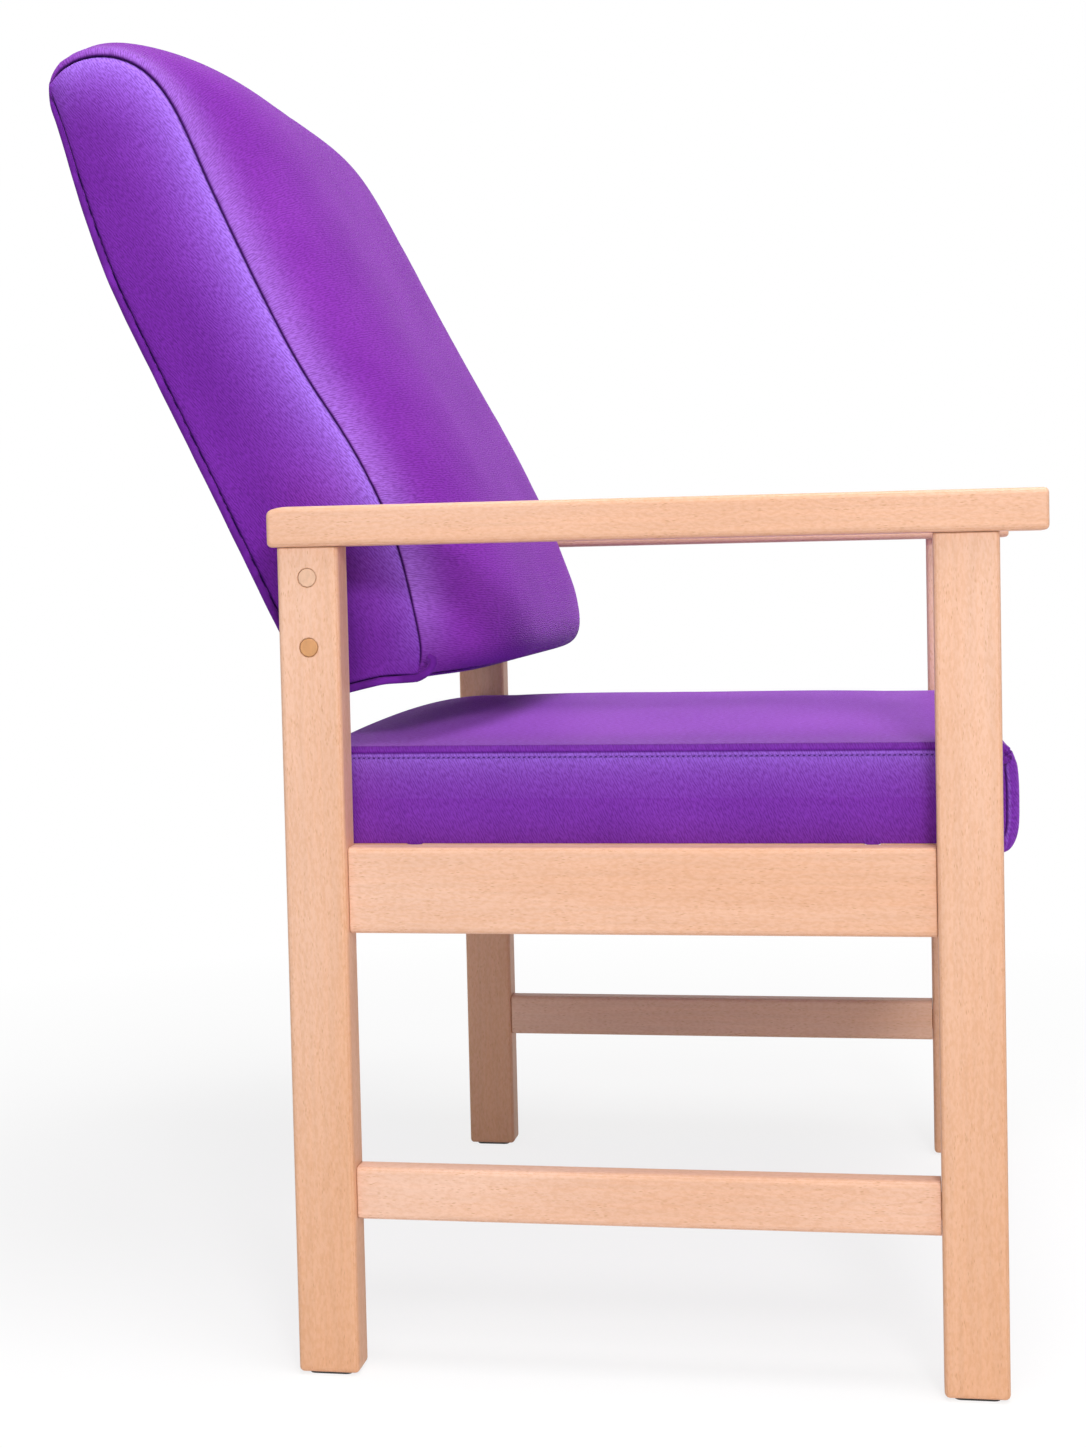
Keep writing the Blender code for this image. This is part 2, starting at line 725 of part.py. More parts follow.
def add_back_bolt(side, row, up, chair, leg, cushion, cheek, materials):
    """A bolt from the leg into the back's cheek, with its wooden cap, spacer and threaded insert."""
    sign = sides[side]
    place = spot(sign * half_frame, leg_aheads["rear"], up)
    head_at = cap_thickness + fit_gap
    head_end = head_at + bolt_head_height
    to_insert = half_frame - half_cheeks
    tip = to_insert + insert_length
    hole = bolt_radius + bolt_clearance
    seat = cap_radius + fit_gap

    def inward(name, stations):
        """A round bar whose stations are distances in from the leg's outer face."""
        return bar(name, "X", [(-sign * along, *rest) for along, *rest in stations])

    bore = [
        disc(-cut_overrun, seat),
        disc(head_end + fit_gap, seat),
        disc(head_end + fit_gap, hole),
        disc(leg_thickness + cut_overrun, hole),
    ]
    cut(leg, f"{row}_bore", inward(f"{leg.name}.{row}_bore", bore), chair, place)

    cap = [
        disc(-cap_proud, cap_radius - cap_bevel),
        disc(cap_bevel - cap_proud, cap_radius),
        disc(cap_thickness, cap_radius),
    ]
    name = f"bolt_cap_{row}_{side}"
    add_object(name, inward(name, cap), chair, place, materials["beech_end"])

    name = f"back_bolt_{row}_{side}"
    shape = [
        disc(head_at, bolt_head_radius),
        disc(head_end, bolt_head_radius),
        disc(head_end, bolt_radius),
        disc(tip, bolt_radius),
    ]
    bolt = add_object(name, inward(name, shape), chair, place, materials["steel"])
    corners = [math.radians(60.0 * turn) for turn in range(6)]
    socket_radius = bolt_socket_radius
    hexagon = [(socket_radius * math.cos(turn), socket_radius * math.sin(turn)) for turn in corners]
    ends = sorted((-sign * (head_at - cut_overrun), -sign * (head_at + bolt_socket_depth)))
    cut(bolt, "socket", prism(f"{name}.socket", hexagon, *ends, "X"), chair, place)

    spacer_from = leg_thickness + fit_gap
    spacer_to = half_frame - half_back - fit_gap
    name = f"back_spacer_{row}_{side}"
    shape = [disc(spacer_from, spacer_radius), disc(spacer_to, spacer_radius)]
    spacer = add_object(name, inward(name, shape), chair, place, materials["plastic"])
    drill = [disc(spacer_from - cut_overrun, hole), disc(spacer_to + cut_overrun, hole)]
    cut(spacer, "bore", inward(f"{name}.bore", drill), chair, place)

    name = f"back_insert_{row}_{side}"
    shape = [disc(to_insert, hole + insert_wall), disc(tip, hole + insert_wall)]
    insert = add_object(name, inward(name, shape), chair, place, materials["steel"])
    drill = [disc(to_insert - cut_overrun, hole), disc(tip + cut_overrun, hole)]
    cut(insert, "bore", inward(f"{name}.bore", drill), chair, place)

    socket = hole + insert_wall + fit_gap
    drill = [disc(to_insert - cut_overrun, socket), disc(tip + fit_gap, socket)]
    cut(cheek, f"{row}_bore", inward(f"{cheek.name}.{row}_bore", drill), chair, place)
    wall_from = half_frame - half_back
    drill = [disc(wall_from - cut_overrun, hole), disc(wall_from + back_wall + cut_overrun / 2, hole)]
    cut(cushion, f"{row}_bore_{side}", inward(f"back_cushion.{row}_bore_{side}", drill), chair, place)


def seat_outline(level):
    """The seat's section at a crown level, as ahead and up, from the lip to the rear and over the top."""
    top = seat_foot_up + seat_thickness
    quarter = np.linspace(0.0, math.pi / 2, round_steps + 1)
    foot = seat_foot_up - seat_lip_drop
    lip_centre = (seat_front_ahead - seat_lip_radius, foot + seat_lip_radius)
    nose_centre = (seat_front_ahead - seat_nose_radius, top - seat_nose_radius)
    heel_centre = (seat_rear_ahead + seat_heel_radius, top - seat_heel_radius)
    points = [(lip_ahead, seat_foot_up), (seat_rear_ahead, seat_foot_up)]
    for angle in quarter[::-1]:
        drop = seat_heel_radius * math.sin(angle)
        points.append((heel_centre[0] - drop, heel_centre[1] + seat_heel_radius * math.cos(angle)))
    for share in across_shares(seat_top_count + 2)[1:-1]:
        ahead = (heel_centre[0] + nose_centre[0]) / 2 + share * (nose_centre[0] - heel_centre[0]) / 2
        points.append((ahead, top))
    for angle in quarter:
        ahead = nose_centre[0] + seat_nose_radius * math.sin(angle)
        points.append((ahead, nose_centre[1] + seat_nose_radius * math.cos(angle)))
    points.append((seat_front_ahead + seat_front_belly, (lip_centre[1] + nose_centre[1]) / 2))
    for angle in quarter:
        ahead = lip_centre[0] + seat_lip_radius * math.cos(angle)
        points.append((ahead, lip_centre[1] - seat_lip_radius * math.sin(angle)))
    points.append((lip_ahead, lip_centre[1]))
    middle = (heel_centre[0] + nose_centre[0]) / 2
    half = seat_front_ahead - middle
    lifted = []
    for ahead, up in points:
        on_top = up > lip_centre[1] + seat_thickness / 2 and abs(ahead - middle) < half
        lift = crown((ahead - middle) / half, seat_along_power) if on_top else 0.0
        lifted.append((ahead, up + seat_crown * level * lift))
    return lifted


def add_seat(chair, vinyl, ply, screw_places):
    """The crowned seat cushion, with a lip in front of the front rail, and the board in its underside."""
    rings = []
    for share in across_shares(across_count):
        section = seat_outline(crown(share, seat_across_power))
        rings.append([spot(share * half_seat, ahead, up) for ahead, up in section])
    cushion = add_object("seat_cushion", loft(rings, "seat_cushion"), chair, (0.0, 0.0, 0.0), vinyl)
    rear = seat_rear_ahead + seat_wall
    front = frame_length - cross_rail_recess - seat_wall
    middle = spot(0.0, (rear + front) / 2, 0.0)
    width = 2 * (half_seat - seat_wall)
    grow = 2 * fit_gap
    outline = (width + grow, front - rear + grow, edge_radius + fit_gap)
    pocket = [
        (seat_foot_up - cut_overrun, *outline),
        (seat_foot_up + board_thickness + fit_gap, *outline),
    ]
    cut(cushion, "board_pocket", bar("seat_cushion.board_pocket", "Z", pocket), chair, middle)
    stations = [
        (seat_foot_up, width, front - rear, edge_radius),
        (seat_foot_up + board_thickness, width, front - rear, edge_radius),
    ]
    board = add_object("seat_board", bar("seat_board", "Z", stations), chair, middle, ply)
    hole = screw_radius + screw_clearance
    for label, centre in screw_places.items():
        top = seat_rail_top + screw_bite + screw_clearance * 3
        drill = [disc(seat_foot_up - cut_overrun, hole), disc(top, hole)]
        at_screw = Vector((centre.x, centre.y, 0.0))
        name = f"screw_hole_{label}"
        cut(board, name, bar(f"seat_board.{name}", "Z", drill), chair, at_screw)


def centre_on_origin(chair):
    """Slide the whole chair along Y so that its bounding box is centred over the origin."""
    bpy.context.view_layer.update()
    graph = bpy.context.evaluated_depsgraph_get()
    reach = []
    for item in bpy.context.scene.objects:
        if item.type == "EMPTY" or item.hide_render:
            continue
        evaluated = item.evaluated_get(graph)
        mesh = evaluated.to_mesh()
        reach += [(evaluated.matrix_world @ vertex.co).y for vertex in mesh.vertices]
        evaluated.to_mesh_clear()
    chair.location.y = -(min(reach) + max(reach)) / 2


def build_chair():
    clear_scene()
    beech = paint("beech", (0.78, 0.50, 0.31), 0.42)
    beech_end = paint("beech_end", (0.70, 0.42, 0.25), 0.48)
    ply = paint("birch_plywood", (0.72, 0.55, 0.37), 0.60)
    vinyl = paint("violet_vinyl", (0.27, 0.06, 0.50), 0.38)
    webbing = paint("elastic_webbing", (0.06, 0.06, 0.06), 0.80)
    steel = paint("zinc_plated_steel", (0.62, 0.62, 0.60), 0.32, 1.0)
    plastic = paint("dark_plastic", (0.03, 0.03, 0.03), 0.50)

    chair = add_empty("chair")
    back = add_empty("back", chair, spot(0.0, back_foot_ahead, back_foot_up))
    back.rotation_euler.x = -recline

    legs = {}
    screw_places = {}
    for side in sides:
        for place in leg_aheads:
            legs[side, place] = add_leg(side, place, chair, beech)
            add_glide(side, place, chair, plastic)
            screw_places[f"{place}_{side}"] = add_corner(side, place, chair, beech, steel)
        add_arm(side, chair, beech)
        add_side_rails(side, chair, beech)
        add_cleat(side, chair, beech)
    for place in leg_aheads:
        add_cross_rail(place, chair, beech)
    add_seat(chair, vinyl, ply, screw_places)

    cushion = add_back_cushion(back, vinyl)
    cheeks = {side: add_cheek(side, back, ply) for side in sides}
    for row, rise in back_rail_rises.items():
        add_back_rail(row, rise, back, cheeks, beech)
    add_webs(back, webbing)
    add_outer_cover(back, vinyl)
    add_piping(back, vinyl)
    materials = {"beech_end": beech_end, "steel": steel, "plastic": plastic}
    for side in sides:
        for row, up in bolt_ups.items():
            add_back_bolt(side, row, up, chair, legs[side, "rear"], cushion, cheeks[side], materials)
    centre_on_origin(chair)


build_chair()
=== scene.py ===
import math
import time

import bmesh
import bpy
import numpy as np
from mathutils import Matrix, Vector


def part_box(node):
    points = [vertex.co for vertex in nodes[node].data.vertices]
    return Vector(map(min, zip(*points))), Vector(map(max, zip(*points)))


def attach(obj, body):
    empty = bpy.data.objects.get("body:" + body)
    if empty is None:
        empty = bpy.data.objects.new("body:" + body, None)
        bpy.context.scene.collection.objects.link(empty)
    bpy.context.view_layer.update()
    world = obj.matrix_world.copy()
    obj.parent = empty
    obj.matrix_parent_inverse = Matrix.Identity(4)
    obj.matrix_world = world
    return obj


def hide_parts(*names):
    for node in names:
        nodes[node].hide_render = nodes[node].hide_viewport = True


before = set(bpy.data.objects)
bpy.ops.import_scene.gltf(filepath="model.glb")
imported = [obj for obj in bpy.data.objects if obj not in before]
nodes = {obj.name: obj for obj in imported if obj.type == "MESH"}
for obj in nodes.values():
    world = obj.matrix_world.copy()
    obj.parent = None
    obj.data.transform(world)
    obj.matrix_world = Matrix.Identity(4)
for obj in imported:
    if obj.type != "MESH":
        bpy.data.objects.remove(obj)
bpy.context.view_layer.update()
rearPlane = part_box("rear_leg_right")[1].y  # the back of the rear legs
print("frame loaded:", len(nodes), "nodes")


# lines and surfaces

def smoothLine(points, steps):
    # each stretch is a cubic that leaves a point along the line between the two beside it
    points = np.asarray(points, float)
    ends = np.vstack([2 * points[:1] - points[1:2], points, 2 * points[-1:] - points[-2:-1]])
    before, start, end, after = (ends[k:len(ends) - 3 + k][:, None, :] for k in range(4))
    s = (np.arange(steps) / steps)[None, :, None]
    pull, push = (end - before) / 2, (after - start) / 2
    line = (2 * s**3 - 3 * s**2 + 1) * start + (s**3 - 2 * s**2 + s) * pull
    line = line + (3 * s**2 - 2 * s**3) * end + (s**3 - s**2) * push
    return np.vstack([line.reshape(-1, points.shape[1]), points[-1:]])


def travel(line):
    # distance along a line at each of its points
    return np.concatenate([[0.0], np.cumsum(np.linalg.norm(np.diff(line, axis=0), axis=1))])


def evenly(line, count):
    # the same line with evenly spaced points
    along = travel(line)
    stops = np.linspace(0.0, along[-1], count)
    return np.stack([np.interp(stops, along, line[:, k]) for k in range(line.shape[1])], axis=1)


def offsetLine(line, distance, closed=False):
    # a flat line moved to its left by a distance
    padded = np.vstack([line[-1:], line, line[:1]]) if closed else np.vstack([line[:1], line, line[-1:]])
    run = padded[2:] - padded[:-2]
    run = run / np.linalg.norm(run, axis=1)[:, None]
    return line + np.stack([-run[:, 1], run[:, 0]], axis=1) * distance


def normalsOf(grid):
    # cross product of the grid's two directions at every point
    down = np.gradient(grid, axis=0)
    across = np.gradient(grid, axis=1)
    normal = np.cross(down, across)
    return normal / np.maximum(np.linalg.norm(normal, axis=2), 1e-12)[:, :, None]


def edgeDistance(grid):
    # distance across the grid from each point to the nearer end of its row
    steps = np.linalg.norm(np.diff(grid, axis=1), axis=2)
    along = np.concatenate([np.zeros((len(grid), 1)), np.cumsum(steps, axis=1)], axis=1)
    return np.minimum(along, along[:, -1:] - along)


def ripple(along, seed, waves):
    # a sum of sines of the given (wavelength, height) pairs, each with its own phase
    phases = np.random.RandomState(seed).uniform(0.0, 2 * math.pi, len(waves))
    return sum(height * np.sin(2 * math.pi * along / length + phase)
               for (length, height), phase in zip(waves, phases))


def climb(distance, reach):
    # from zero to one over the reach, and flat outside it
    return np.clip(distance / reach, 0, 1)


def climbPast(distance, places):
    # the same from a start: the places are a start and a reach
    return climb(distance - places[0], places[1])


def inFrom(distance, reach):
    # climbs from zero at a seam to one beyond the reach
    return 1 - np.exp(-distance / reach)


def fadeOver(distance, reach):
    return np.exp(-(distance / reach) ** 2)


def crownLevels(share, power):
    # one in the middle of the cushion, falling to zero at its sides
    return 1 - np.abs(share) ** power


edgeStops = (0.0, 0.0004, 0.0009, 0.0015, 0.0023, 0.0034, 0.0050, 0.0072, 0.0100, 0.0135)


def acrossShares(half, spacing, fine=edgeStops):
    # places from -1 to 1, with fine steps near each side and even ones between
    even = np.linspace(fine[-1] + spacing, half, int((half - fine[-1]) / spacing))
    inward = np.concatenate([fine, even])
    return np.concatenate([inward - half, (half - inward)[-2::-1]]) / half


def quads(rows, columns, first):
    # faces of a grid whose points are numbered row by row
    index = first + np.arange(rows * columns).reshape(rows, columns)
    return np.stack([index[:-1, :-1], index[:-1, 1:], index[1:, 1:], index[1:, :-1]], axis=-1).reshape(-1, 4)


mergeDistance = 2e-5


def meshFrom(name, grids, material, attributes=None):
    # joins grids of points into one smooth piece; points that coincide become one
    points = np.concatenate([grid.reshape(-1, 3) for grid in grids])
    starts = np.cumsum([0] + [grid.shape[0] * grid.shape[1] for grid in grids])
    faces = np.concatenate([quads(*grid.shape[:2], first) for grid, first in zip(grids, starts)])
    mesh = bpy.data.meshes.new(name)
    mesh.from_pydata(points.tolist(), [], faces.tolist())
    for label, values in (attributes or {}).items():
        size = 3 if values[0].ndim == 3 else 1
        kind, field = {1: ("FLOAT", "value"), 3: ("FLOAT_VECTOR", "vector")}[size]
        layer = mesh.attributes.new(label, kind, "POINT")
        layer.data.foreach_set(field, np.concatenate([v.reshape(-1) for v in values]).astype(np.float32))
    work = bmesh.new()
    work.from_mesh(mesh)
    bmesh.ops.remove_doubles(work, verts=work.verts, dist=mergeDistance)
    bmesh.ops.dissolve_degenerate(work, edges=work.edges, dist=mergeDistance / 2)
    bmesh.ops.recalc_face_normals(work, faces=work.faces)
    work.to_mesh(mesh)
    work.free()
    mesh.polygons.foreach_set("use_smooth", np.ones(len(mesh.polygons), bool))
    piece = bpy.data.objects.new(name, mesh)
    bpy.context.scene.collection.objects.link(piece)
    piece.data.materials.append(material)
    return piece


def tube(path, radius, outward, sides):
    # a circle of the radius round each place on a path, square to it and begun at its outward side, with
    # both ends closed
    path = np.asarray(path, float)
    run = np.gradient(path, axis=0)
    run /= np.linalg.norm(run, axis=1)[:, None]
    across = outward - run * (outward * run).sum(axis=1)[:, None]
    across /= np.linalg.norm(across, axis=1)[:, None]
    other = np.cross(run, across)
    angles = np.linspace(0.0, 2 * math.pi, sides + 1)[None, :, None]
    rings = np.cos(angles) * across[:, None, :] + np.sin(angles) * other[:, None, :]
    rings = path[:, None, :] + rings * np.broadcast_to(radius, len(path))[:, None, None]
    first, last = (np.broadcast_to(path[k], rings[k].shape)[None] for k in (0, -1))
    return np.concatenate([first, rings, last])


def clothPlaces(grid, ridge, across, gather=0.0):
    # where each point lies on its cut panel: along the grain's ridges, across them, and how gathered it is
    places = [grid @ np.asarray(ridge, float), grid @ np.asarray(across, float)]
    return np.stack([*places, np.broadcast_to(gather, grid.shape[:2])], axis=-1)

# cushions swollen as cloth

swelling = {
    "voxel": 0.0095, "frames": 20, "pressure": 4.0, "slack": 0.006, "tension": 40.0, "bending": 0.5,
    "sunk": 0.0020, "softening": 3, "rise": 0.0024, "sink": 0.0005, "reach": 0.0055, "batch": 500,
    "sampled": 6, "pinSteps": 10, "freeAbove": 0.01, "looseAbove": 0.9, "fullAt": 1.5,
}


def vectors(vertices, field):
    # one row for each vertex
    flat = np.empty(len(vertices) * 3, np.float32)
    vertices.foreach_get(field, flat)
    return flat.reshape(-1, 3).astype(float)


def feltAt(spots, places, values):
    # mean of the values at the places, each weighed by exp(-distance squared / 2 reach squared)
    felt = np.empty((len(spots), values.shape[1]))
    for first in range(0, len(spots), swelling["batch"]):
        part = spots[first:first + swelling["batch"]]
        apart = (part ** 2).sum(axis=1)[:, None] + (places ** 2).sum(axis=1)[None, :] - 2 * part @ places.T
        weight = np.exp((apart.min(axis=1, keepdims=True) - apart) / (2 * swelling["reach"] ** 2))
        felt[first:first + len(part)] = weight @ values / weight.sum(axis=1, keepdims=True)
    return felt


def coarseCopy(piece):
    # the same shape in voxels of one size, which swell evenly
    coarse = bpy.data.objects.new("coarse", piece.data.copy())
    bpy.context.scene.collection.objects.link(coarse)
    remesh = coarse.modifiers.new("even", "REMESH")
    remesh.mode = "VOXEL"
    remesh.voxel_size = swelling["voxel"]
    graph = bpy.context.evaluated_depsgraph_get()
    even = bpy.data.meshes.new_from_object(coarse.evaluated_get(graph))
    coarse.modifiers.clear()
    coarse.data = even
    return coarse


def blownUp(coarse, near):
    # the cloth is pinned where the piece is held, with air pressure inside and no gravity
    pinned = coarse.vertex_groups.new(name="pinned")
    steps = swelling["pinSteps"]
    for level in range(steps + 1):
        pinned.add(np.flatnonzero(np.round(near * steps) == level).tolist(), 1 - level / steps, "REPLACE")
    cloth = coarse.modifiers.new("swell", "CLOTH")
    cloth.settings.vertex_group_mass = "pinned"
    cloth.settings.use_pressure = True
    cloth.settings.uniform_pressure_force = swelling["pressure"]
    cloth.settings.shrink_min = -swelling["slack"]
    cloth.settings.tension_stiffness = cloth.settings.compression_stiffness = swelling["tension"]
    cloth.settings.bending_stiffness = swelling["bending"]
    cloth.settings.effector_weights.gravity = 0.0
    cloth.collision_settings.use_collision = False
    cloth.point_cache.frame_start, cloth.point_cache.frame_end = 1, swelling["frames"]
    for step in range(1, swelling["frames"] + 1):
        bpy.context.scene.frame_set(step)
    graph = bpy.context.evaluated_depsgraph_get()
    return vectors(coarse.evaluated_get(graph).data.vertices, "co")


def swollen(piece):
    # a coarse copy, sunk a little, swells under air pressure between its seams; the piece takes on how
    # unevenly it did so, and not how far
    began = time.time()
    fine = vectors(piece.data.vertices, "co")
    loose = np.empty(len(fine), np.float32)
    piece.data.attributes["loose"].data.foreach_get("value", loose)
    coarse = coarseCopy(piece)
    rest, normal = (vectors(coarse.data.vertices, field) for field in ("co", "normal"))
    sample = slice(None, None, swelling["sampled"])
    near = feltAt(rest, fine[sample], loose[sample, None].astype(float))[:, 0]
    coarse.data.vertices.foreach_set("co", (rest - swelling["sunk"] * near[:, None] * normal).ravel())
    outward = ((blownUp(coarse, near) - rest) * normal).sum(axis=1)
    bpy.data.objects.remove(coarse)
    bpy.context.scene.frame_set(1)
    free = near > swelling["freeAbove"]
    uneven = (outward - np.median(outward[near > swelling["looseAbove"]])) / swelling["softening"]
    uneven = np.clip(uneven, -swelling["sink"], swelling["rise"]) * np.clip(near * swelling["fullAt"], 0, 1)
    held = loose > 0
    moved = feltAt(fine[held], rest[free], uneven[free, None] * normal[free])
    fine[held] += moved * loose[held, None]
    piece.data.vertices.foreach_set("co", fine.ravel())
    piece.data.update()
    spread = np.round(np.percentile(outward[free], (5, 50, 95)) * 1000, 1)
    taken = round(time.time() - began, 1)
    print("swollen:", piece.name, len(rest), "points, outward", spread, "mm in", taken, "s")


# materials

def nodeMaterial(name, roughness, metallic=0.0):
    material = bpy.data.materials.new(name)
    material.use_nodes = True
    tree = material.node_tree
    shader = tree.nodes["Principled BSDF"]
    shader.inputs["Roughness"].default_value = roughness
    shader.inputs["Metallic"].default_value = metallic
    return material, tree, shader


def feed(tree, socket, value):
    # links an output to the socket, or sets a value on it
    if isinstance(value, bpy.types.NodeSocket):
        tree.links.new(value, socket)
    else:
        socket.default_value = value


def addNode(tree, kind, values=None, **settings):
    node = tree.nodes.new(kind)
    for key, value in settings.items():
        setattr(node, key, value)
    for key, value in (values or {}).items():
        feed(tree, node.inputs[key], value)
    return node


def placed(tree, scale=(1.0, 1.0, 1.0)):
    where = addNode(tree, "ShaderNodeTexCoord").outputs["Object"]
    return addNode(tree, "ShaderNodeMapping", {"Vector": where, "Scale": scale}).outputs["Vector"]


def attribute(tree, name, output="Fac"):
    return addNode(tree, "ShaderNodeAttribute", attribute_name=name).outputs[output]


def noise(tree, where, scale, detail, output="Fac", **others):
    values = {"Vector": where, "Scale": scale, "Detail": detail, **others}
    return addNode(tree, "ShaderNodeTexNoise", values).outputs[output]


def combined(tree, operation, first, second, kind="ShaderNodeMath"):
    return addNode(tree, kind, {0: first, 1: second}, operation=operation).outputs[0]


def opaque(colour):
    # a colour, or one number for a grey, with full alpha
    return (*colour, 1.0) if isinstance(colour, tuple) else (colour, colour, colour, 1.0)


def ramp(tree, factor, *stops):
    # blends between two stops, each a place and a colour or a grey
    node = addNode(tree, "ShaderNodeValToRGB", {"Fac": factor})
    for element, (place, colour) in zip(node.color_ramp.elements, stops):
        element.position = place
        element.color = opaque(colour)
    return node.outputs["Color"]


def mixColour(tree, factor, first, second, blend="MIX"):
    node = addNode(tree, "ShaderNodeMix", {0: factor}, data_type="RGBA", blend_type=blend)
    for socket, value in ((node.inputs[6], first), (node.inputs[7], second)):
        feed(tree, socket, value if isinstance(value, bpy.types.NodeSocket) else opaque(value))
    return node.outputs[2]


def multiplied(tree, first, second):
    return mixColour(tree, 1.0, first, second, "MULTIPLY")


def bumped(tree, shader, *layers):
    # bump nodes in a chain, one for each (height, strength, distance)
    normal = None
    for height, strength, distance in layers:
        node = addNode(tree, "ShaderNodeBump", {"Height": height, "Strength": strength, "Distance": distance})
        if normal is not None:
            tree.links.new(normal, node.inputs["Normal"])
        normal = node.outputs["Normal"]
    tree.links.new(normal, shader.inputs["Normal"])


vinyl = {
    # the darkest colour is painted shade for seams, creases and stitch lines
    "colour": (0.190, 0.028, 0.385), "deep": (0.160, 0.020, 0.335), "seam": (0.012, 0.001, 0.050),
    # the front factors make the front panels and the seat's top lighter and pinker, as painted light
    "front": (1.16, 1.18, 1.00), "pale": (0.425, 0.230, 0.930), "gloss": (0.66, 0.56, 1.0), "specular": 0.022,
    "sheen": (0.66, 0.21, 1.0), "sheenRoughness": 0.45, "roughness": 0.46, "rougher": 0.10, "smoother": 0.04,
    "ridges": (260.0, 1050.0, 0.0), "ridgeDepth": 0.00052, "ridgeRoughness": 0.45,
    "gathers": (36.0, 640.0, 0.0), "gatherDepth": 0.0010,
    "lineScale": 185.0, "lineShare": 0.16, "lineBend": 2.2, "lineBendScale": 0.5,
    "bendScale": 48.0, "wander": 0.0034, "broadScale": 14.0, "broadDepth": 0.0010, "broadStrength": 0.25,
    # the pale colour is a painted highlight, kept at this share in the ridges' hollows
    "hollowAt": 0.36, "crestAt": 0.60, "hollowTone": 0.76, "crestTone": 1.08, "hollowPull": 0.50,
}


def vinylMaterial(name, tint=1.0, sheen=0.30):
    # grain: ridges along the cut panel, bent by noise, with longer gathers square to each seam; a painted
    # highlight turns the ridges paler near the seams and over the seat's top, painted shade darkens the
    # seams, and painted light makes the front panels and the seat's top lighter
    material, tree, shader = nodeMaterial(name, vinyl["roughness"])
    cloth = attribute(tree, "cloth", "Vector")
    bend = noise(tree, placed(tree), vinyl["bendScale"], 3.0, "Color")
    wander = combined(tree, "MULTIPLY", bend, (vinyl["wander"],) * 3, "ShaderNodeVectorMath")
    bent = combined(tree, "ADD", cloth, wander, "ShaderNodeVectorMath")
    drawn, folded = (addNode(tree, "ShaderNodeMapping", {"Vector": bent, "Scale": vinyl[key]})
                     .outputs["Vector"] for key in ("ridges", "gathers"))
    # and a sine across them, period 2 pi / (20 scale), bent by its own noise
    lines = addNode(tree, "ShaderNodeTexWave", {
        "Vector": bent, "Scale": vinyl["lineScale"], "Distortion": vinyl["lineBend"], "Detail": 1.0,
        "Detail Scale": vinyl["lineBendScale"]}, bands_direction="Y").outputs["Fac"]
    grain = combined(tree, "ADD", noise(tree, drawn, 1.0, 1.0, Roughness=vinyl["ridgeRoughness"]),
                     combined(tree, "MULTIPLY", lines, vinyl["lineShare"]))
    grain = combined(tree, "SUBTRACT", grain, vinyl["lineShare"] / 2)
    amount = addNode(tree, "ShaderNodeSeparateXYZ", {0: cloth}).outputs["Z"]
    gathered = combined(tree, "MULTIPLY", noise(tree, folded, 1.0, 1.0), amount)
    broad = noise(tree, placed(tree), vinyl["broadScale"], 2.0)
    tone = ramp(tree, broad, (0.3, vinyl["deep"]), (0.7, vinyl["colour"]))
    hollowAt, crestAt = vinyl["hollowAt"], vinyl["crestAt"]
    tone = multiplied(tree, tone, ramp(tree, grain, (hollowAt, vinyl["hollowTone"] * tint),
                                       (crestAt, vinyl["crestTone"] * tint)))
    # painted highlight: mixed towards the pale colour by a vertex attribute, fully on the ridges' crests and
    # less in their hollows
    crests = ramp(tree, grain, (hollowAt, vinyl["hollowPull"]), (crestAt, 1.0))
    tone = mixColour(tree, multiplied(tree, crests, attribute(tree, "paintedHighlight")), tone, vinyl["pale"])
    # painted light: the front panels and the seat's top lighter and pinker than the sides
    tone = mixColour(tree, attribute(tree, "front"), tone, multiplied(tree, tone, vinyl["front"]))
    # painted shade in the seams, creases and stitch lines
    tone = mixColour(tree, attribute(tree, "seam"), tone, vinyl["seam"])
    feed(tree, shader.inputs["Base Color"], tone)
    feed(tree, shader.inputs["Roughness"], ramp(tree, grain, (0.3, vinyl["roughness"] + vinyl["rougher"]),
                                                (0.7, vinyl["roughness"] - vinyl["smoother"])))
    shader.inputs["Specular IOR Level"].default_value = vinyl["specular"]
    shader.inputs["Specular Tint"].default_value = (*vinyl["gloss"], 1.0)
    shader.inputs["Sheen Weight"].default_value = sheen
    shader.inputs["Sheen Roughness"].default_value = vinyl["sheenRoughness"]
    shader.inputs["Sheen Tint"].default_value = (*vinyl["sheen"], 1.0)
    bumped(tree, shader, (broad, vinyl["broadStrength"], vinyl["broadDepth"]),
           (gathered, 1.0, vinyl["gatherDepth"]), (grain, 1.0, vinyl["ridgeDepth"]))
    return material


beech = {
    "pale": (0.825, 0.535, 0.400), "warm": (0.760, 0.440, 0.290), "fleck": (0.560, 0.285, 0.145),
    # the edge colour is painted shade on the eased edges
    "hollow": (0.975, 0.935, 0.890), "crest": (1.03, 1.04, 1.06), "edge": (0.620, 0.255, 0.095),
    # the low colour is painted shade on the lower part of the uprights
    "low": (0.720, 0.390, 0.220), "lowShare": 0.75, "lowHeight": 0.55, "warmer": 0.55,
    "roughness": 0.44, "specular": 0.16, "coat": 0.04, "coatRoughness": 0.35, "bevel": 0.0014,
    # each pattern's scale across the grain and along it
    "figure": (16.0, 1.3), "patches": (5.0, 3.0), "streaks": (230.0, 9.0), "mottle": (520.0, 210.0),
    "dashes": (760.0, 150.0), "sparse": (150.0, 50.0),
}
grainAxis = {"across": 0, "along": 1, "upright": 2}


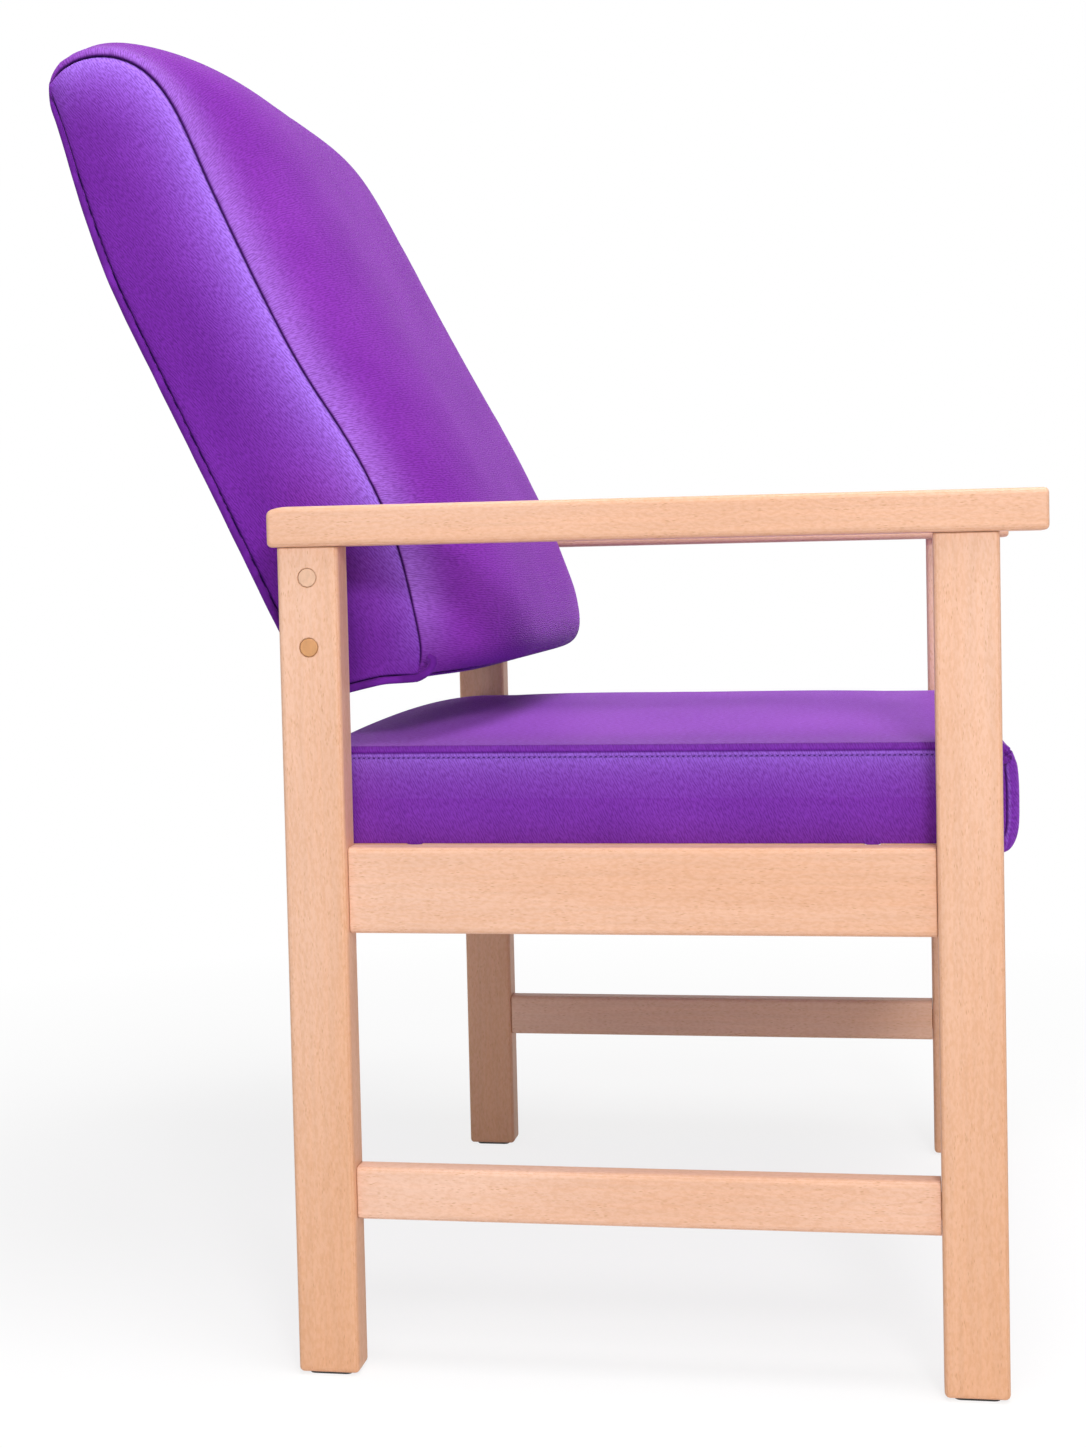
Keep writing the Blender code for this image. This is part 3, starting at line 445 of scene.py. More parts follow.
def beechMaterial(name, direction, warmth=0.0):
    # growth figure, short flecks and fine pores, all drawn out along the timber
    material, tree, shader = nodeMaterial(name, beech["roughness"])

    def drawn(pattern):
        square, lengthwise = beech[pattern]
        scale = [square] * 3
        scale[grainAxis[direction]] = lengthwise
        return placed(tree, tuple(scale))

    figure = noise(tree, drawn("figure"), 1.0, 4.0, Distortion=0.6)
    tone = ramp(tree, figure, (0.32, beech["warm"]), (0.62, beech["pale"]))
    warm = ramp(tree, noise(tree, drawn("patches"), 1.0, 2.0), (0.45, warmth),
                (0.75, min(1.0, warmth + beech["warmer"])))
    tone = mixColour(tree, warm, tone, beech["warm"])
    # painted shade: the lower part of an upright darker and warmer towards the floor
    if direction == "upright":
        height = addNode(tree, "ShaderNodeSeparateXYZ", {0: placed(tree)}).outputs["Z"]
        low = addNode(tree, "ShaderNodeMapRange", {
            "Value": height, "From Min": 0.0, "From Max": beech["lowHeight"],
            "To Min": beech["lowShare"], "To Max": 0.0})
        tone = mixColour(tree, low.outputs[0], tone, beech["low"])
    streaks = noise(tree, drawn("streaks"), 1.0, 2.0)
    tone = multiplied(tree, tone, ramp(tree, streaks, (0.35, 0.97), (0.65, 1.02)))
    mottle = noise(tree, drawn("mottle"), 1.0, 2.0)
    tone = multiplied(tree, tone, ramp(tree, mottle, (0.36, beech["hollow"]), (0.60, beech["crest"])))
    dashes = addNode(tree, "ShaderNodeTexVoronoi", {"Vector": drawn("dashes"), "Scale": 1.0})
    dash = ramp(tree, dashes.outputs["Distance"], (0.10, 1.0), (0.30, 0.0))
    some = ramp(tree, noise(tree, drawn("sparse"), 1.0, 1.0), (0.44, 0.0), (0.60, 0.75))
    tone = mixColour(tree, multiplied(tree, dash, some), tone, beech["fleck"])
    # painted shade on the eased edges: darker where the bevelled normal turns away from the face's own
    bevel = addNode(tree, "ShaderNodeBevel", {"Radius": beech["bevel"]}, samples=4).outputs["Normal"]
    flat = addNode(tree, "ShaderNodeNewGeometry").outputs["True Normal"]
    turned = addNode(tree, "ShaderNodeVectorMath", {0: bevel, 1: flat}, operation="DOT_PRODUCT")
    edgeShade = ramp(tree, turned.outputs["Value"], (0.88, 0.80), (0.995, 0.0))
    tone = mixColour(tree, edgeShade, tone, beech["edge"])
    feed(tree, shader.inputs["Base Color"], tone)
    shader.inputs["Specular IOR Level"].default_value = beech["specular"]
    shader.inputs["Coat Weight"].default_value = beech["coat"]
    shader.inputs["Coat Roughness"].default_value = beech["coatRoughness"]
    bumped(tree, shader, (mottle, 0.40, 0.0005), (streaks, 0.10, 0.0003), (dash, -0.06, 0.0003))
    tree.links.new(bevel, tree.nodes["Bump"].inputs["Normal"])
    return material


def plainMaterial(name, roughness, stretch, detail, dark, light, strength, depth, metal=0.0, gloss=None):
    # one noise, with a scale for each axis, sets the colour and the bump, and the roughness from a pair
    material, tree, shader = nodeMaterial(name, roughness, metal)
    pattern = noise(tree, placed(tree, stretch), 1.0, detail)
    feed(tree, shader.inputs["Base Color"], ramp(tree, pattern, (0.3, dark), (0.7, light)))
    if gloss:
        feed(tree, shader.inputs["Roughness"], ramp(tree, pattern, (0.3, gloss[0]), (0.7, gloss[1])))
    bumped(tree, shader, (pattern, strength, depth))
    return material


def capMaterial(name, colour, darker=0.84):
    # a turned cap seen end on, with its rings lying across
    dark = tuple(darker * channel for channel in colour)
    return plainMaterial(name, 0.5, (200.0, 260.0, 120.0), 3.0, dark, colour, 0.12, 0.0003)


def webbingMaterial():
    # crossing ribs, as woven elastic has
    material, tree, shader = nodeMaterial("elasticWebbing", 0.85)
    weave = mixColour(tree, 0.5, *(
        addNode(tree, "ShaderNodeTexWave", {"Vector": placed(tree), "Scale": scale}, bands_direction=axis)
        .outputs["Color"] for scale, axis in ((180.0, "X"), (120.0, "Z"))))
    feed(tree, shader.inputs["Base Color"], ramp(tree, weave, (0.2, 0.025), (0.8, 0.085)))
    bumped(tree, shader, (weave, 0.4, 0.0005))
    return material


plywood = plainMaterial("birchPlywood", 0.62, (9.0, 9.0, 60.0), 4.0, (0.56, 0.40, 0.25),
                        (0.76, 0.60, 0.42), 0.15, 0.0004)
steel = plainMaterial("zincPlatedSteel", 0.33, (260.0,) * 3, 3.0, (0.50, 0.50, 0.47),
                      (0.68, 0.68, 0.66), 0.05, 0.0002, metal=1.0, gloss=(0.28, 0.42))
plastic = plainMaterial("darkPlastic", 0.5, (900.0,) * 3, 2.0, 0.018, 0.042, 0.2, 0.0002)
thread = plainMaterial("violetThread", 0.7, (2400.0,) * 3, 1.0, (0.20, 0.05, 0.44),
                       (0.32, 0.11, 0.66), 0.3, 0.0002)
backVinyl = vinylMaterial("backVinyl")
seatVinyl = vinylMaterial("seatVinyl", sheen=0.50)
pipingVinyl = vinylMaterial("pipingVinyl", 0.92)
finishes = [  # a material, and how the names of its nodes begin
    (beechMaterial("beechUpright", "upright"), ("rear_leg", "front_leg")),
    (beechMaterial("beechArm", "along", 0.45), ("arm",)),
    (beechMaterial("beechAlong", "along"), ("side_rail", "side_stretcher", "seat_cleat")),
    (beechMaterial("beechAcross", "across"), ("front_rail", "rear_rail", "corner_block", "back_bottom_rail",
                                              "back_middle_rail", "back_top_rail")),
    (capMaterial("capPale", (0.80, 0.50, 0.34)), ("bolt_cap_upper",)),
    (capMaterial("capDark", (0.66, 0.32, 0.13)), ("bolt_cap_lower",)),
    (plywood, ("seat_board", "back_cheek")),
    (webbingMaterial(), ("back_web",)),
    (steel, ("seat_screw", "back_bolt", "back_insert")),
    (plastic, ("glide", "back_spacer")),
    (backVinyl, ("back_cushion", "back_outer_cover", "back_piping", "seat_cushion")),
]
for name, node in nodes.items():
    node.data.materials.clear()
    node.data.materials.append(next(material for material, starts in finishes if name.startswith(starts)))
print("materials:", len(finishes), "finishes on", len(nodes), "nodes")


# the back

back = {
    "recline": math.radians(22.5), "footAhead": 0.010, "footUp": 0.507, "length": 0.530, "thickness": 0.110,
    "rows": 170, "underRows": 26, "spacing": 0.0050, "sideColumns": 38, "lineSteps": 12, "smoothing": 24,
    "crownPower": 5.2, "turnShare": 0.55, "turnSlope": 0.26,
    "roll": 0.0042, "rollRise": 0.0045, "rollReach": 0.024, "rollStart": 0.012, "rollFull": 1.25,
    "rollFade": 0.55, "groove": 0.0014, "grooveWidth": 0.0011, "grooveReach": 0.012, "seamEnds": 0.02,
    "puckerWaves": [(0.0090, 0.5), (0.0133, 0.7), (0.0210, 0.6), (0.0370, 0.5)],
    "pucker": 0.00030, "sidePucker": 0.8, "puckerStart": 0.002, "puckerReach": 0.016,
    "sidePuff": 0.0030, "puffPower": 2.4, "puffPlace": (0.20, 0.10), "narrow": 0.05,
    "sideRoll": 0.0016, "sideRollWidth": 0.0016, "welt": 0.0014, "weltFrom": 0.0072, "weltOver": 0.0022,
    # widths of the painted shade along the seam and beside the piping
    "weltEnd": 0.0004, "seamDark": 0.0009, "pipingShade": 0.0015,
    "gatherReach": 0.034, "gatherStart": 0.004, "gatherLow": 0.35, "gatherFade": 0.7, "sideGather": 0.25,
    "sideGatherReach": 0.010, "sideRidge": (0.0, -0.64, -0.77), "sideAcross": (0.0, 0.77, -0.64),
    "looseEnds": (0.02, 0.97), "looseEndOver": 0.06, "looseFront": (0.003, 0.016),
    "looseSide": (0.004, 0.014),
    # painted highlight on the side covers by the seam and on the front cover beside it
    "sideHighlight": 0.85, "sideHighlightReach": 0.020, "sideHighlightStart": 0.0012, "sideHighlightFade": (0.25, 0.35),
    "frontHighlight": 0.42, "frontHighlightReach": 0.026, "frontHighlightStart": 0.0015, "frontHighlightEnds": 0.10,
    # outlines of a section at the side and in the middle, as shares of the length and thickness: up the front
    # from the seam's foot, over the top and down behind to the foot; "rear" is the last stretch, at the side
    "edge": [(0.981, 0.023), (0.998, 0.109), (1.004, 0.255), (0.992, 0.473), (0.955, 0.659), (0.885, 0.755),
             (0.745, 0.768), (0.566, 0.805), (0.447, 0.855), (0.326, 0.955), (0.208, 0.993), (0.113, 0.952),
             (0.040, 0.901), (-0.006, 0.860), (-0.022, 0.790), (-0.006, 0.545), (0.003, 0.309),
             (0.011, 0.091)],
    "middle": [(1.022, 0.015), (1.061, 0.105), (1.081, 0.295), (1.032, 0.698), (0.964, 1.000), (0.890, 1.166),
               (0.744, 1.252), (0.565, 1.322), (0.447, 1.378), (0.335, 1.440), (0.199, 1.480), (0.090, 1.470),
               (0.003, 1.440), (-0.060, 1.280), (-0.045, 1.055), (-0.017, 0.545), (-0.002, 0.309),
               (0.011, 0.091)],
    "rear": [(0.011, 0.091), (0.113, 0.047), (0.332, -0.006), (0.530, -0.058), (0.660, -0.088),
             (0.745, -0.077), (0.830, -0.043), (0.915, 0.0)],
    "seamEnd": 14,
}
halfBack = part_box("back_cushion")[1].x
backScale = np.array([back["length"], back["thickness"]])


def backWorld(grid):
    # from (x, rise, forward) in the tilted back to the chair's own X, Y and Z
    tilt = back["recline"]
    x, rise, forward = np.moveaxis(grid, -1, 0)
    y = rearPlane - back["footAhead"] + rise * math.sin(tilt) - forward * math.cos(tilt)
    z = back["footUp"] + rise * math.cos(tilt) + forward * math.sin(tilt)
    return np.stack([x, y, z], axis=-1)


def softened(line, passes):
    # each pass moves a point half-way to the middle of its neighbours; the ends stay
    for _ in range(passes):
        line = np.vstack([line[:1], (line[:-2] + 2 * line[1:-1] + line[2:]) / 4, line[-1:]])
    return line


def outlineParts(shares):
    # front, underside and rear of one section, each with its own even spacing
    steps = back["lineSteps"]
    line = smoothLine(np.asarray(shares) * backScale, steps)
    turn = back["seamEnd"] * steps
    rearLine = np.asarray(back["rear"]) * backScale
    rearLine[:, 0] *= line[0, 0] / (back["edge"][0][0] * back["length"])
    rearLine = smoothLine(np.vstack([line[-1:], rearLine[1:], line[:1]]), steps)
    rearRows = back["rows"] - back["underRows"] + 1
    front = softened(evenly(line[:turn + 1], back["rows"]), back["smoothing"])
    return front, evenly(line[turn:], back["underRows"]), evenly(rearLine, rearRows)


edgeParts = outlineParts(back["edge"])
middleParts = outlineParts(back["middle"])
shares = acrossShares(halfBack, back["spacing"])
levels = crownLevels(shares, back["crownPower"])

sideLine = np.vstack([edgeParts[2][::-1], edgeParts[1][::-1][1:]])
seamLine = edgeParts[0]
seamTravel = travel(seamLine)
seamShare = seamTravel / seamTravel[-1]
sideWidth = np.linalg.norm(seamLine - sideLine, axis=1)
turnWidth = np.maximum(sideWidth * back["turnShare"], 1e-6)  # how far from the seam the side begins to turn
seamInset = turnWidth * back["turnSlope"]


def loftAcross(edge, middle, inset):
    # section lines blended from the side to the middle by the crown, at each place across
    sections = edge[:, None, :] + (middle - edge)[:, None, :] * levels[None, :, None]
    x = shares[None, :] * (halfBack - inset)[:, None]
    return np.concatenate([x[:, :, None], sections], axis=2)


insets = (seamInset, np.zeros(back["underRows"]), np.zeros(len(edgeParts[2])))
frontGrid, underGrid, rearGrid = (loftAcross(*parts) for parts in zip(edgeParts, middleParts, insets))

# the rear stands out a little between the outer cover's edge and the piping, over the cheeks
fromEnd = halfBack - np.abs(rearGrid[:, :, 0])
welt = back["welt"] * climb(back["weltFrom"] - fromEnd, back["weltOver"]) * climb(fromEnd, back["weltEnd"])
welt[[0, -1]] = 0.0
rearNormal = normalsOf(rearGrid)
rearNormal *= np.sign(-rearNormal[len(rearGrid) // 2, len(shares) // 2, 2])
rearGrid = rearGrid + rearNormal * welt[:, :, None]

# front cover: rolls out over the seam at the top, with short puckers square to the stitching
fromSeam = edgeDistance(frontGrid)
rollHeight = back["roll"] * np.clip(back["rollFull"] - seamShare / back["rollFade"], 0, 1)
rollHeight = rollHeight * climb(seamShare, back["rollStart"]) ** 0.5
endFade = climb(seamShare, back["seamEnds"]) * climb(1 - seamShare, back["seamEnds"])
roll = rollHeight[:, None] * inFrom(fromSeam, back["rollRise"]) * fadeOver(fromSeam, back["rollReach"])
groove = back["groove"] * endFade[:, None] * inFrom(fromSeam, back["grooveWidth"])
groove = groove * fadeOver(fromSeam, back["grooveReach"])
pucker = ripple(seamTravel, 11, back["puckerWaves"])[:, None] * back["pucker"]
pucker = pucker * inFrom(fromSeam, back["puckerStart"]) * fadeOver(fromSeam, back["puckerReach"])
frontNormal = normalsOf(frontGrid)
outwardSign = np.sign(frontNormal[len(frontGrid) // 2, len(shares) // 2, 2])
frontGrid = frontGrid + outwardSign * frontNormal * (roll + groove + pucker)[:, :, None]

# side covers: ruled from the piping's edge to the seam, puffed, and turned in towards the seam
sideShare = 0.5 - 0.5 * np.cos(np.linspace(0.0, math.pi, back["sideColumns"]))[None, :]
sideFlat = sideLine[:, None, :] + (seamLine - sideLine)[:, None, :] * sideShare[:, :, None]
fromSide = sideWidth[:, None] * (1 - sideShare)
fromPiping = sideWidth[:, None] * sideShare
fromEither = np.minimum(fromSide, fromPiping)
turnIn = seamInset[:, None] * np.clip(1 - fromSide / turnWidth[:, None], 0, 1) ** 2
aboveArm = climbPast(sideFlat[:, :, 0], back["puffPlace"])
narrow = climb(sideWidth, back["narrow"])[:, None]
puff = back["sidePuff"] * aboveArm * crownLevels(2 * sideShare - 1, back["puffPower"]) * narrow
sidePucker = ripple(seamTravel, 23, back["puckerWaves"])[:, None] * back["pucker"] * back["sidePucker"]
sidePucker = sidePucker * inFrom(fromSide, back["puckerStart"]) * fadeOver(fromSide, back["puckerReach"])
sidePucker = sidePucker * narrow
sideRoll = back["sideRoll"] * (inFrom(fromEither, back["sideRollWidth"]) - 1) * narrow
sideHeight = puff + sidePucker + sideRoll - turnIn
sideGrids = []
for sign in (-1, 1):
    x = sign * (halfBack + sideHeight)
    x[:, 0] = sign * halfBack
    x[:, -1] = sign * (halfBack - seamInset)
    sideGrids.append(np.concatenate([x[:, :, None], sideFlat], axis=2))
backGrids = [backWorld(grid) for grid in (frontGrid, underGrid, rearGrid, *sideGrids)]

# for the vinyl: painted shade along the seams, the lie of the cloth, a painted highlight beside the seams and
# how loose it is
# painted shade along the seam, and on the side covers by the seam and beside the piping
seamDark = fadeOver(fromSeam, back["seamDark"]) * endFade[:, None]
sideShade = np.maximum(fadeOver(fromSide, back["seamDark"]), fadeOver(fromPiping, back["pipingShade"]))
sideShade = sideShade * endFade[:, None]
gatherLow = back["gatherLow"]
gatherTop = gatherLow + (1 - gatherLow) * np.clip(1 - seamShare / back["gatherFade"], 0, 1)[:, None]
frontGather = fadeOver(fromSeam, back["gatherReach"]) * inFrom(fromSeam, back["gatherStart"]) * gatherTop
downFront = np.broadcast_to(seamTravel[:, None], fromSeam.shape)
frontCloth = np.stack([frontGrid[:, :, 0], downFront, frontGather], axis=-1)
sideGather = back["sideGather"] * fadeOver(fromSide, back["sideGatherReach"])
backCloth = [frontCloth, *(clothPlaces(grid, (1, 0, 0), (0, 0.4, 0.9)) for grid in backGrids[1:3])]
backCloth += [clothPlaces(grid, back["sideRidge"], back["sideAcross"], sideGather) for grid in backGrids[3:]]
looseFrom, looseTo = back["looseEnds"]
endLoose = climb(np.minimum(seamShare - looseFrom, looseTo - seamShare), back["looseEndOver"])[:, None]
frontLoose = climbPast(fromSeam, back["looseFront"]) * endLoose
sideLoose = climbPast(fromEither, back["looseSide"]) * endLoose
# painted highlight: on the side covers, strongest at the seam and weaker towards the foot, and on the front
# cover beside the seam
fadeWidth, fadeLeast = back["sideHighlightFade"]
fromFoot = (1 - seamShare)[:, None]
sideHighlight = back["sideHighlight"] * np.exp(-fromSide / back["sideHighlightReach"])
sideHighlight = sideHighlight * climb(fromSide, back["sideHighlightStart"])
sideHighlight = sideHighlight * np.clip(fromFoot / fadeWidth, fadeLeast, 1) * narrow
frontHighlight = back["frontHighlight"] * fadeOver(fromSeam, back["frontHighlightReach"])
frontHighlight = frontHighlight * climb(fromSeam, back["frontHighlightStart"])
frontHighlight = frontHighlight * climb(seamShare[:, None], back["frontHighlightEnds"])
frontHighlight = frontHighlight * climb(fromFoot, back["frontHighlightEnds"])


def overBack(front, side):
    # values for the front, the underside, the rear and the two sides, with none on the middle two
    return [front, np.zeros(underGrid.shape[:2]), np.zeros(rearGrid.shape[:2]), side, side]


backPiece = meshFrom("backCushion", backGrids, backVinyl, {
    "seam": overBack(seamDark, sideShade), "cloth": backCloth, "paintedHighlight": overBack(frontHighlight, sideHighlight),
    "loose": overBack(frontLoose, sideLoose),
    "front": overBack(np.ones(fromSeam.shape), np.zeros(fromSide.shape))})
swollen(backPiece)
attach(backPiece, "root")
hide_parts("back_cushion")
print("back cushion:", len(backPiece.data.polygons), "faces")


# outer cover: a thin skin over the rear and the underside, inside the piping

cover = {
    "thickness": 0.0020, "gap": 0.0003, "trim": 0.0064, "rows": 150, "spacing": 0.0060,
    "edgeStops": (0.0, 0.002, 0.006), "ridge": (0.8, 0.2, 0.6), "across": (-0.6, 0.3, 0.8),
}
coverHalf = halfBack - cover["trim"]
coverShares = acrossShares(coverHalf, cover["spacing"], cover["edgeStops"]) * coverHalf / halfBack
coverLevels = crownLevels(coverShares, back["crownPower"])


def skinLine(parts):
    # down the rear and forward under the cushion, to the seam's lower end
    return np.vstack([parts[2][::-1], parts[1][::-1][1:]])


edgeSkin, middleSkin = skinLine(edgeParts), skinLine(middleParts)
coverSides, lengths = [], []
for lift in (cover["gap"], cover["gap"] + cover["thickness"]):
    lines = []
    for level in coverLevels:
        line = edgeSkin + (middleSkin - edgeSkin) * level
        lines.append(evenly(offsetLine(line, lift)[3:-2], cover["rows"]))
        lengths.append(travel(lines[-1])[-1])
    grid = np.stack(lines, axis=1)
    x = np.broadcast_to((coverShares * halfBack)[None, :, None], grid.shape[:2] + (1,))
    coverSides.append(np.concatenate([x, grid], axis=2))
rim = [np.stack([coverSides[0][:, k], coverSides[1][:, k]], axis=1) for k in (0, -1)]
rim += [np.stack([coverSides[0][k], coverSides[1][k]], axis=0) for k in (0, -1)]
coverGrids = [backWorld(grid) for grid in (*coverSides, *rim)]
coverPiece = meshFrom("backOuterCover", coverGrids, backVinyl, {
    "cloth": [clothPlaces(grid, cover["ridge"], cover["across"]) for grid in coverGrids]})
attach(coverPiece, "root")
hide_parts("back_outer_cover")
print("outer cover:", len(coverPiece.data.polygons), "faces")


# piping: a covered cord round the edge between the side covers and the outer cover

piping = {
    "radius": 0.0031, "gap": 0.0002, "turn": 0.007, "steps": 560, "sides": 14, "sunk": 0.4,
    "topSlim": 0.30, "slimReach": 0.075, "slimFrom": 0.004, "topLean": 0.25, "topPlaces": 60,
    "kept": 6, "thinned": 4, "waves": [(0.031, 0.015), (0.057, 0.02)], "taper": 0.004, "tip": 0.15,
    "curl": [(0.0012, 0.0075, 0.0006), (0.0042, 0.0140, 0.0018), (0.0085, 0.0162, 0.0028),
             (0.0115, 0.0142, 0.0032), (0.0108, 0.0118, 0.0030)],
}


def slimNear(fromTop):
    # share of the full radius, smallest at the top corner where the covers close over the cord
    return 1 - piping["topSlim"] * fadeOver(fromTop, piping["slimReach"])


def pipingRoute():
    # up one side, over the top rear corner with rounded turns, and down the other; each end curls up the seam
    reach = piping["radius"] + piping["gap"]
    half = halfBack - piping["radius"] * piping["sunk"]
    side = offsetLine(edgeSkin, reach * slimNear(travel(edgeSkin))[:, None])
    side = side[travel(side) > piping["turn"]][::-1]
    curl = np.array(piping["curl"])[::-1]
    flat = np.vstack([side[0] + curl[:, :2], side])
    outward = np.concatenate([curl[:, 2], np.zeros(len(side))])
    right = np.column_stack([-(half + outward), flat])
    kept = piping["kept"]
    right = np.vstack([right[:kept], right[kept::piping["thinned"]]])
    topShares = np.linspace(-1, 1, piping["topPlaces"])[1:-1] * (half - piping["turn"]) / halfBack
    tops = edgeSkin[0] + (middleSkin[0] - edgeSkin[0]) * crownLevels(topShares, back["crownPower"])[:, None]
    lean = np.array([piping["topLean"], -math.sqrt(1 - piping["topLean"] ** 2)]) * reach * slimNear(0.0)
    top = np.column_stack([topShares * halfBack, tops + lean])
    return smoothLine(np.vstack([right, top, right[::-1] * (-1, 1, 1)]), 4)


route = evenly(pipingRoute(), piping["steps"])
routeTravel = travel(route)
fromTop = np.clip(halfBack - piping["slimFrom"] - np.abs(route[:, 0]), 0, 1)
fromTop = fromTop + np.maximum(edgeSkin[0, 0] - route[:, 1], 0)
swell = slimNear(fromTop) * (1 + ripple(routeTravel, 5, piping["waves"]))
ends = np.minimum(routeTravel, routeTravel[-1] - routeTravel)
taper = np.clip(ends / piping["taper"], piping["tip"], 1) ** 0.5
routeWorld = backWorld(route)
pipingGrid = tube(routeWorld, piping["radius"] * swell * taper, routeWorld - routeWorld.mean(axis=0),
                  piping["sides"])
pipingPiece = meshFrom("backPiping", [pipingGrid], pipingVinyl)
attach(pipingPiece, "root")
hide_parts("back_piping")
print("piping:", len(pipingPiece.data.polygons), "faces,", round(routeTravel[-1], 3), "m long")


# the seat

seat = {
    "rear": 0.012, "front": 0.5431, "top": 0.0736, "heelRadius": 0.014, "noseRadius": 0.0125,
    "noseBack": 0.0172, "noseTurn": 60.0,
    "lipAhead": 0.5245, "lipDrop": 0.006, "arcSteps": 12, "bandSteps": 8,
    "band": [(0.5380, 0.0668), (0.5404, 0.0605), (0.5420, 0.0550), (0.5429, 0.0440), (0.5431, 0.0300),
             (0.5428, 0.0150), (0.5416, 0.0060), (0.5392, -0.0005), (0.5358, -0.0048), (0.5318, -0.0068),
             (0.5272, -0.0070)],
    "crown": 0.0120, "acrossPower": 2.0, "alongPower": 6.0, "rearReach": 0.84, "crownInset": 0.004,
    "bow": 0.0032, "bowPower": 6.0, "bowUp": (0.048, 0.010), "bowAhead": (0.50, 0.03),
    "cleatSag": 0.0010, "cleatPower": 12.0, "settle": 0.00025,
    "edgeRadius": 0.0052, "cornerRadius": 0.0096, "footRadius": 0.0006, "cornerOver": (0.010, 0.016),
    "footOver": (0.02, 0.016), "footBand": 0.014, "evenedOver": 9, "foldSteps": 9,
    "spacing": 0.0055, "alongStep": 0.0036, "noseStep": 0.0011, "clear": 0.0008, "gapStep": 0.0003,
    "stops": (0.0, 0.0004, 0.0009, 0.0015, 0.0023, 0.0034),
    "depths": (0.0, 0.0003, 0.0006, 0.0009, 0.0013, 0.0018, 0.0023, 0.0028, 0.0032, 0.0035, 0.0037, 0.0039,
               0.0042, 0.0047, 0.0055, 0.0068, 0.0088, 0.0118),
    "spineInset": (0.034, 0.040), "spineUp": 0.46, "depthSteps": 9, "depthPower": 1.2,
    "sideBelly": 0.0010, "bellyWidth": 0.006, "bellyEnds": (0.06, 0.03), "bellyUp": 0.02,
    "seamDepth": 0.0012, "seamWidth": 0.0007, "lipPuff": 0.0005, "lipAt": 0.0020, "lipWidth": 0.0010,
    "crossDepth": 0.0007, "crossLip": 1.6, "crossLipWidth": 0.0012, "foldFrom": 0.004,
    "pucker": 0.00022, "puckerWaves": [(0.0031, 1.0), (0.0047, 1.0), (0.0083, 0.6)],
    "stitchInset": 0.0037, "stitchPitch": 0.00387, "stitchLength": 0.0025, "stitchRadius": 0.00050,
    "stitchSink": 0.00035, "stitchSinkWidth": 0.0006, "stitchBow": 0.00030, "stitchGap": 0.0001,
    "stitchLean": (0.22, 0.05), "stitchedFrom": 0.020, "stitchedTo": 0.018, "stitchBlunt": 3.2,
    # painted shade in the cross seams, the crease, the stitch line and the corner fold
    "seamDark": (0.9, 0.0007), "foldShade": (0.9, 0.5, 0.0006), "stitchShade": (0.85, 0.00055),
    # painted highlight over the top and along its edge, on the fold, at the front corners and down the side
    # to the stitches
    "cornerShade": (0.7, 0.0004), "topHighlight": 0.22, "edgeHighlight": 0.25, "edgeHighlightReach": 0.030,
    "sideHighlight": 0.42, "sideHighlightReach": 0.013, "sideHighlightStart": 0.0012, "rimHighlight": 0.3,
    "topFrom": 0.7, "trackFrom": 0.8, "looseFold": (0.005, 0.012), "looseEnds": (0.004, 0.02),
    "looseFoot": (0.008, 0.02), "looseSeam": (0.004, 0.014), "looseUp": (0.016, 0.012),
    "looseTop": (0.003, 0.016),
    "cornerHighlight": 0.45, "sideRidge": (0.0, -0.42, -0.91), "sideAcross": (0.0, 0.91, -0.42),
    "topRidge": (0.3, 0.9, 0.3), "topAcross": (0.95, -0.2, 0.5),
}
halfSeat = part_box("seat_cushion")[1].x
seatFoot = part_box("seat_board")[0].z  # underside of the cushion, on the rails
# along each side, ahead of the rear plane: the two gaps between the cleat and the corner blocks
cleatGaps = [(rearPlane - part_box(sooner)[0].y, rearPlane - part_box(later)[1].y) for sooner, later in (
    ("corner_block_rear_right", "seat_cleat_right"), ("seat_cleat_right", "corner_block_front_right"))]


def arc(centre, radius, start, end):
    angle = np.radians(np.linspace(start, end, seat["arcSteps"]))
    return np.column_stack([centre[0] + radius * np.cos(angle), centre[1] + radius * np.sin(angle)])


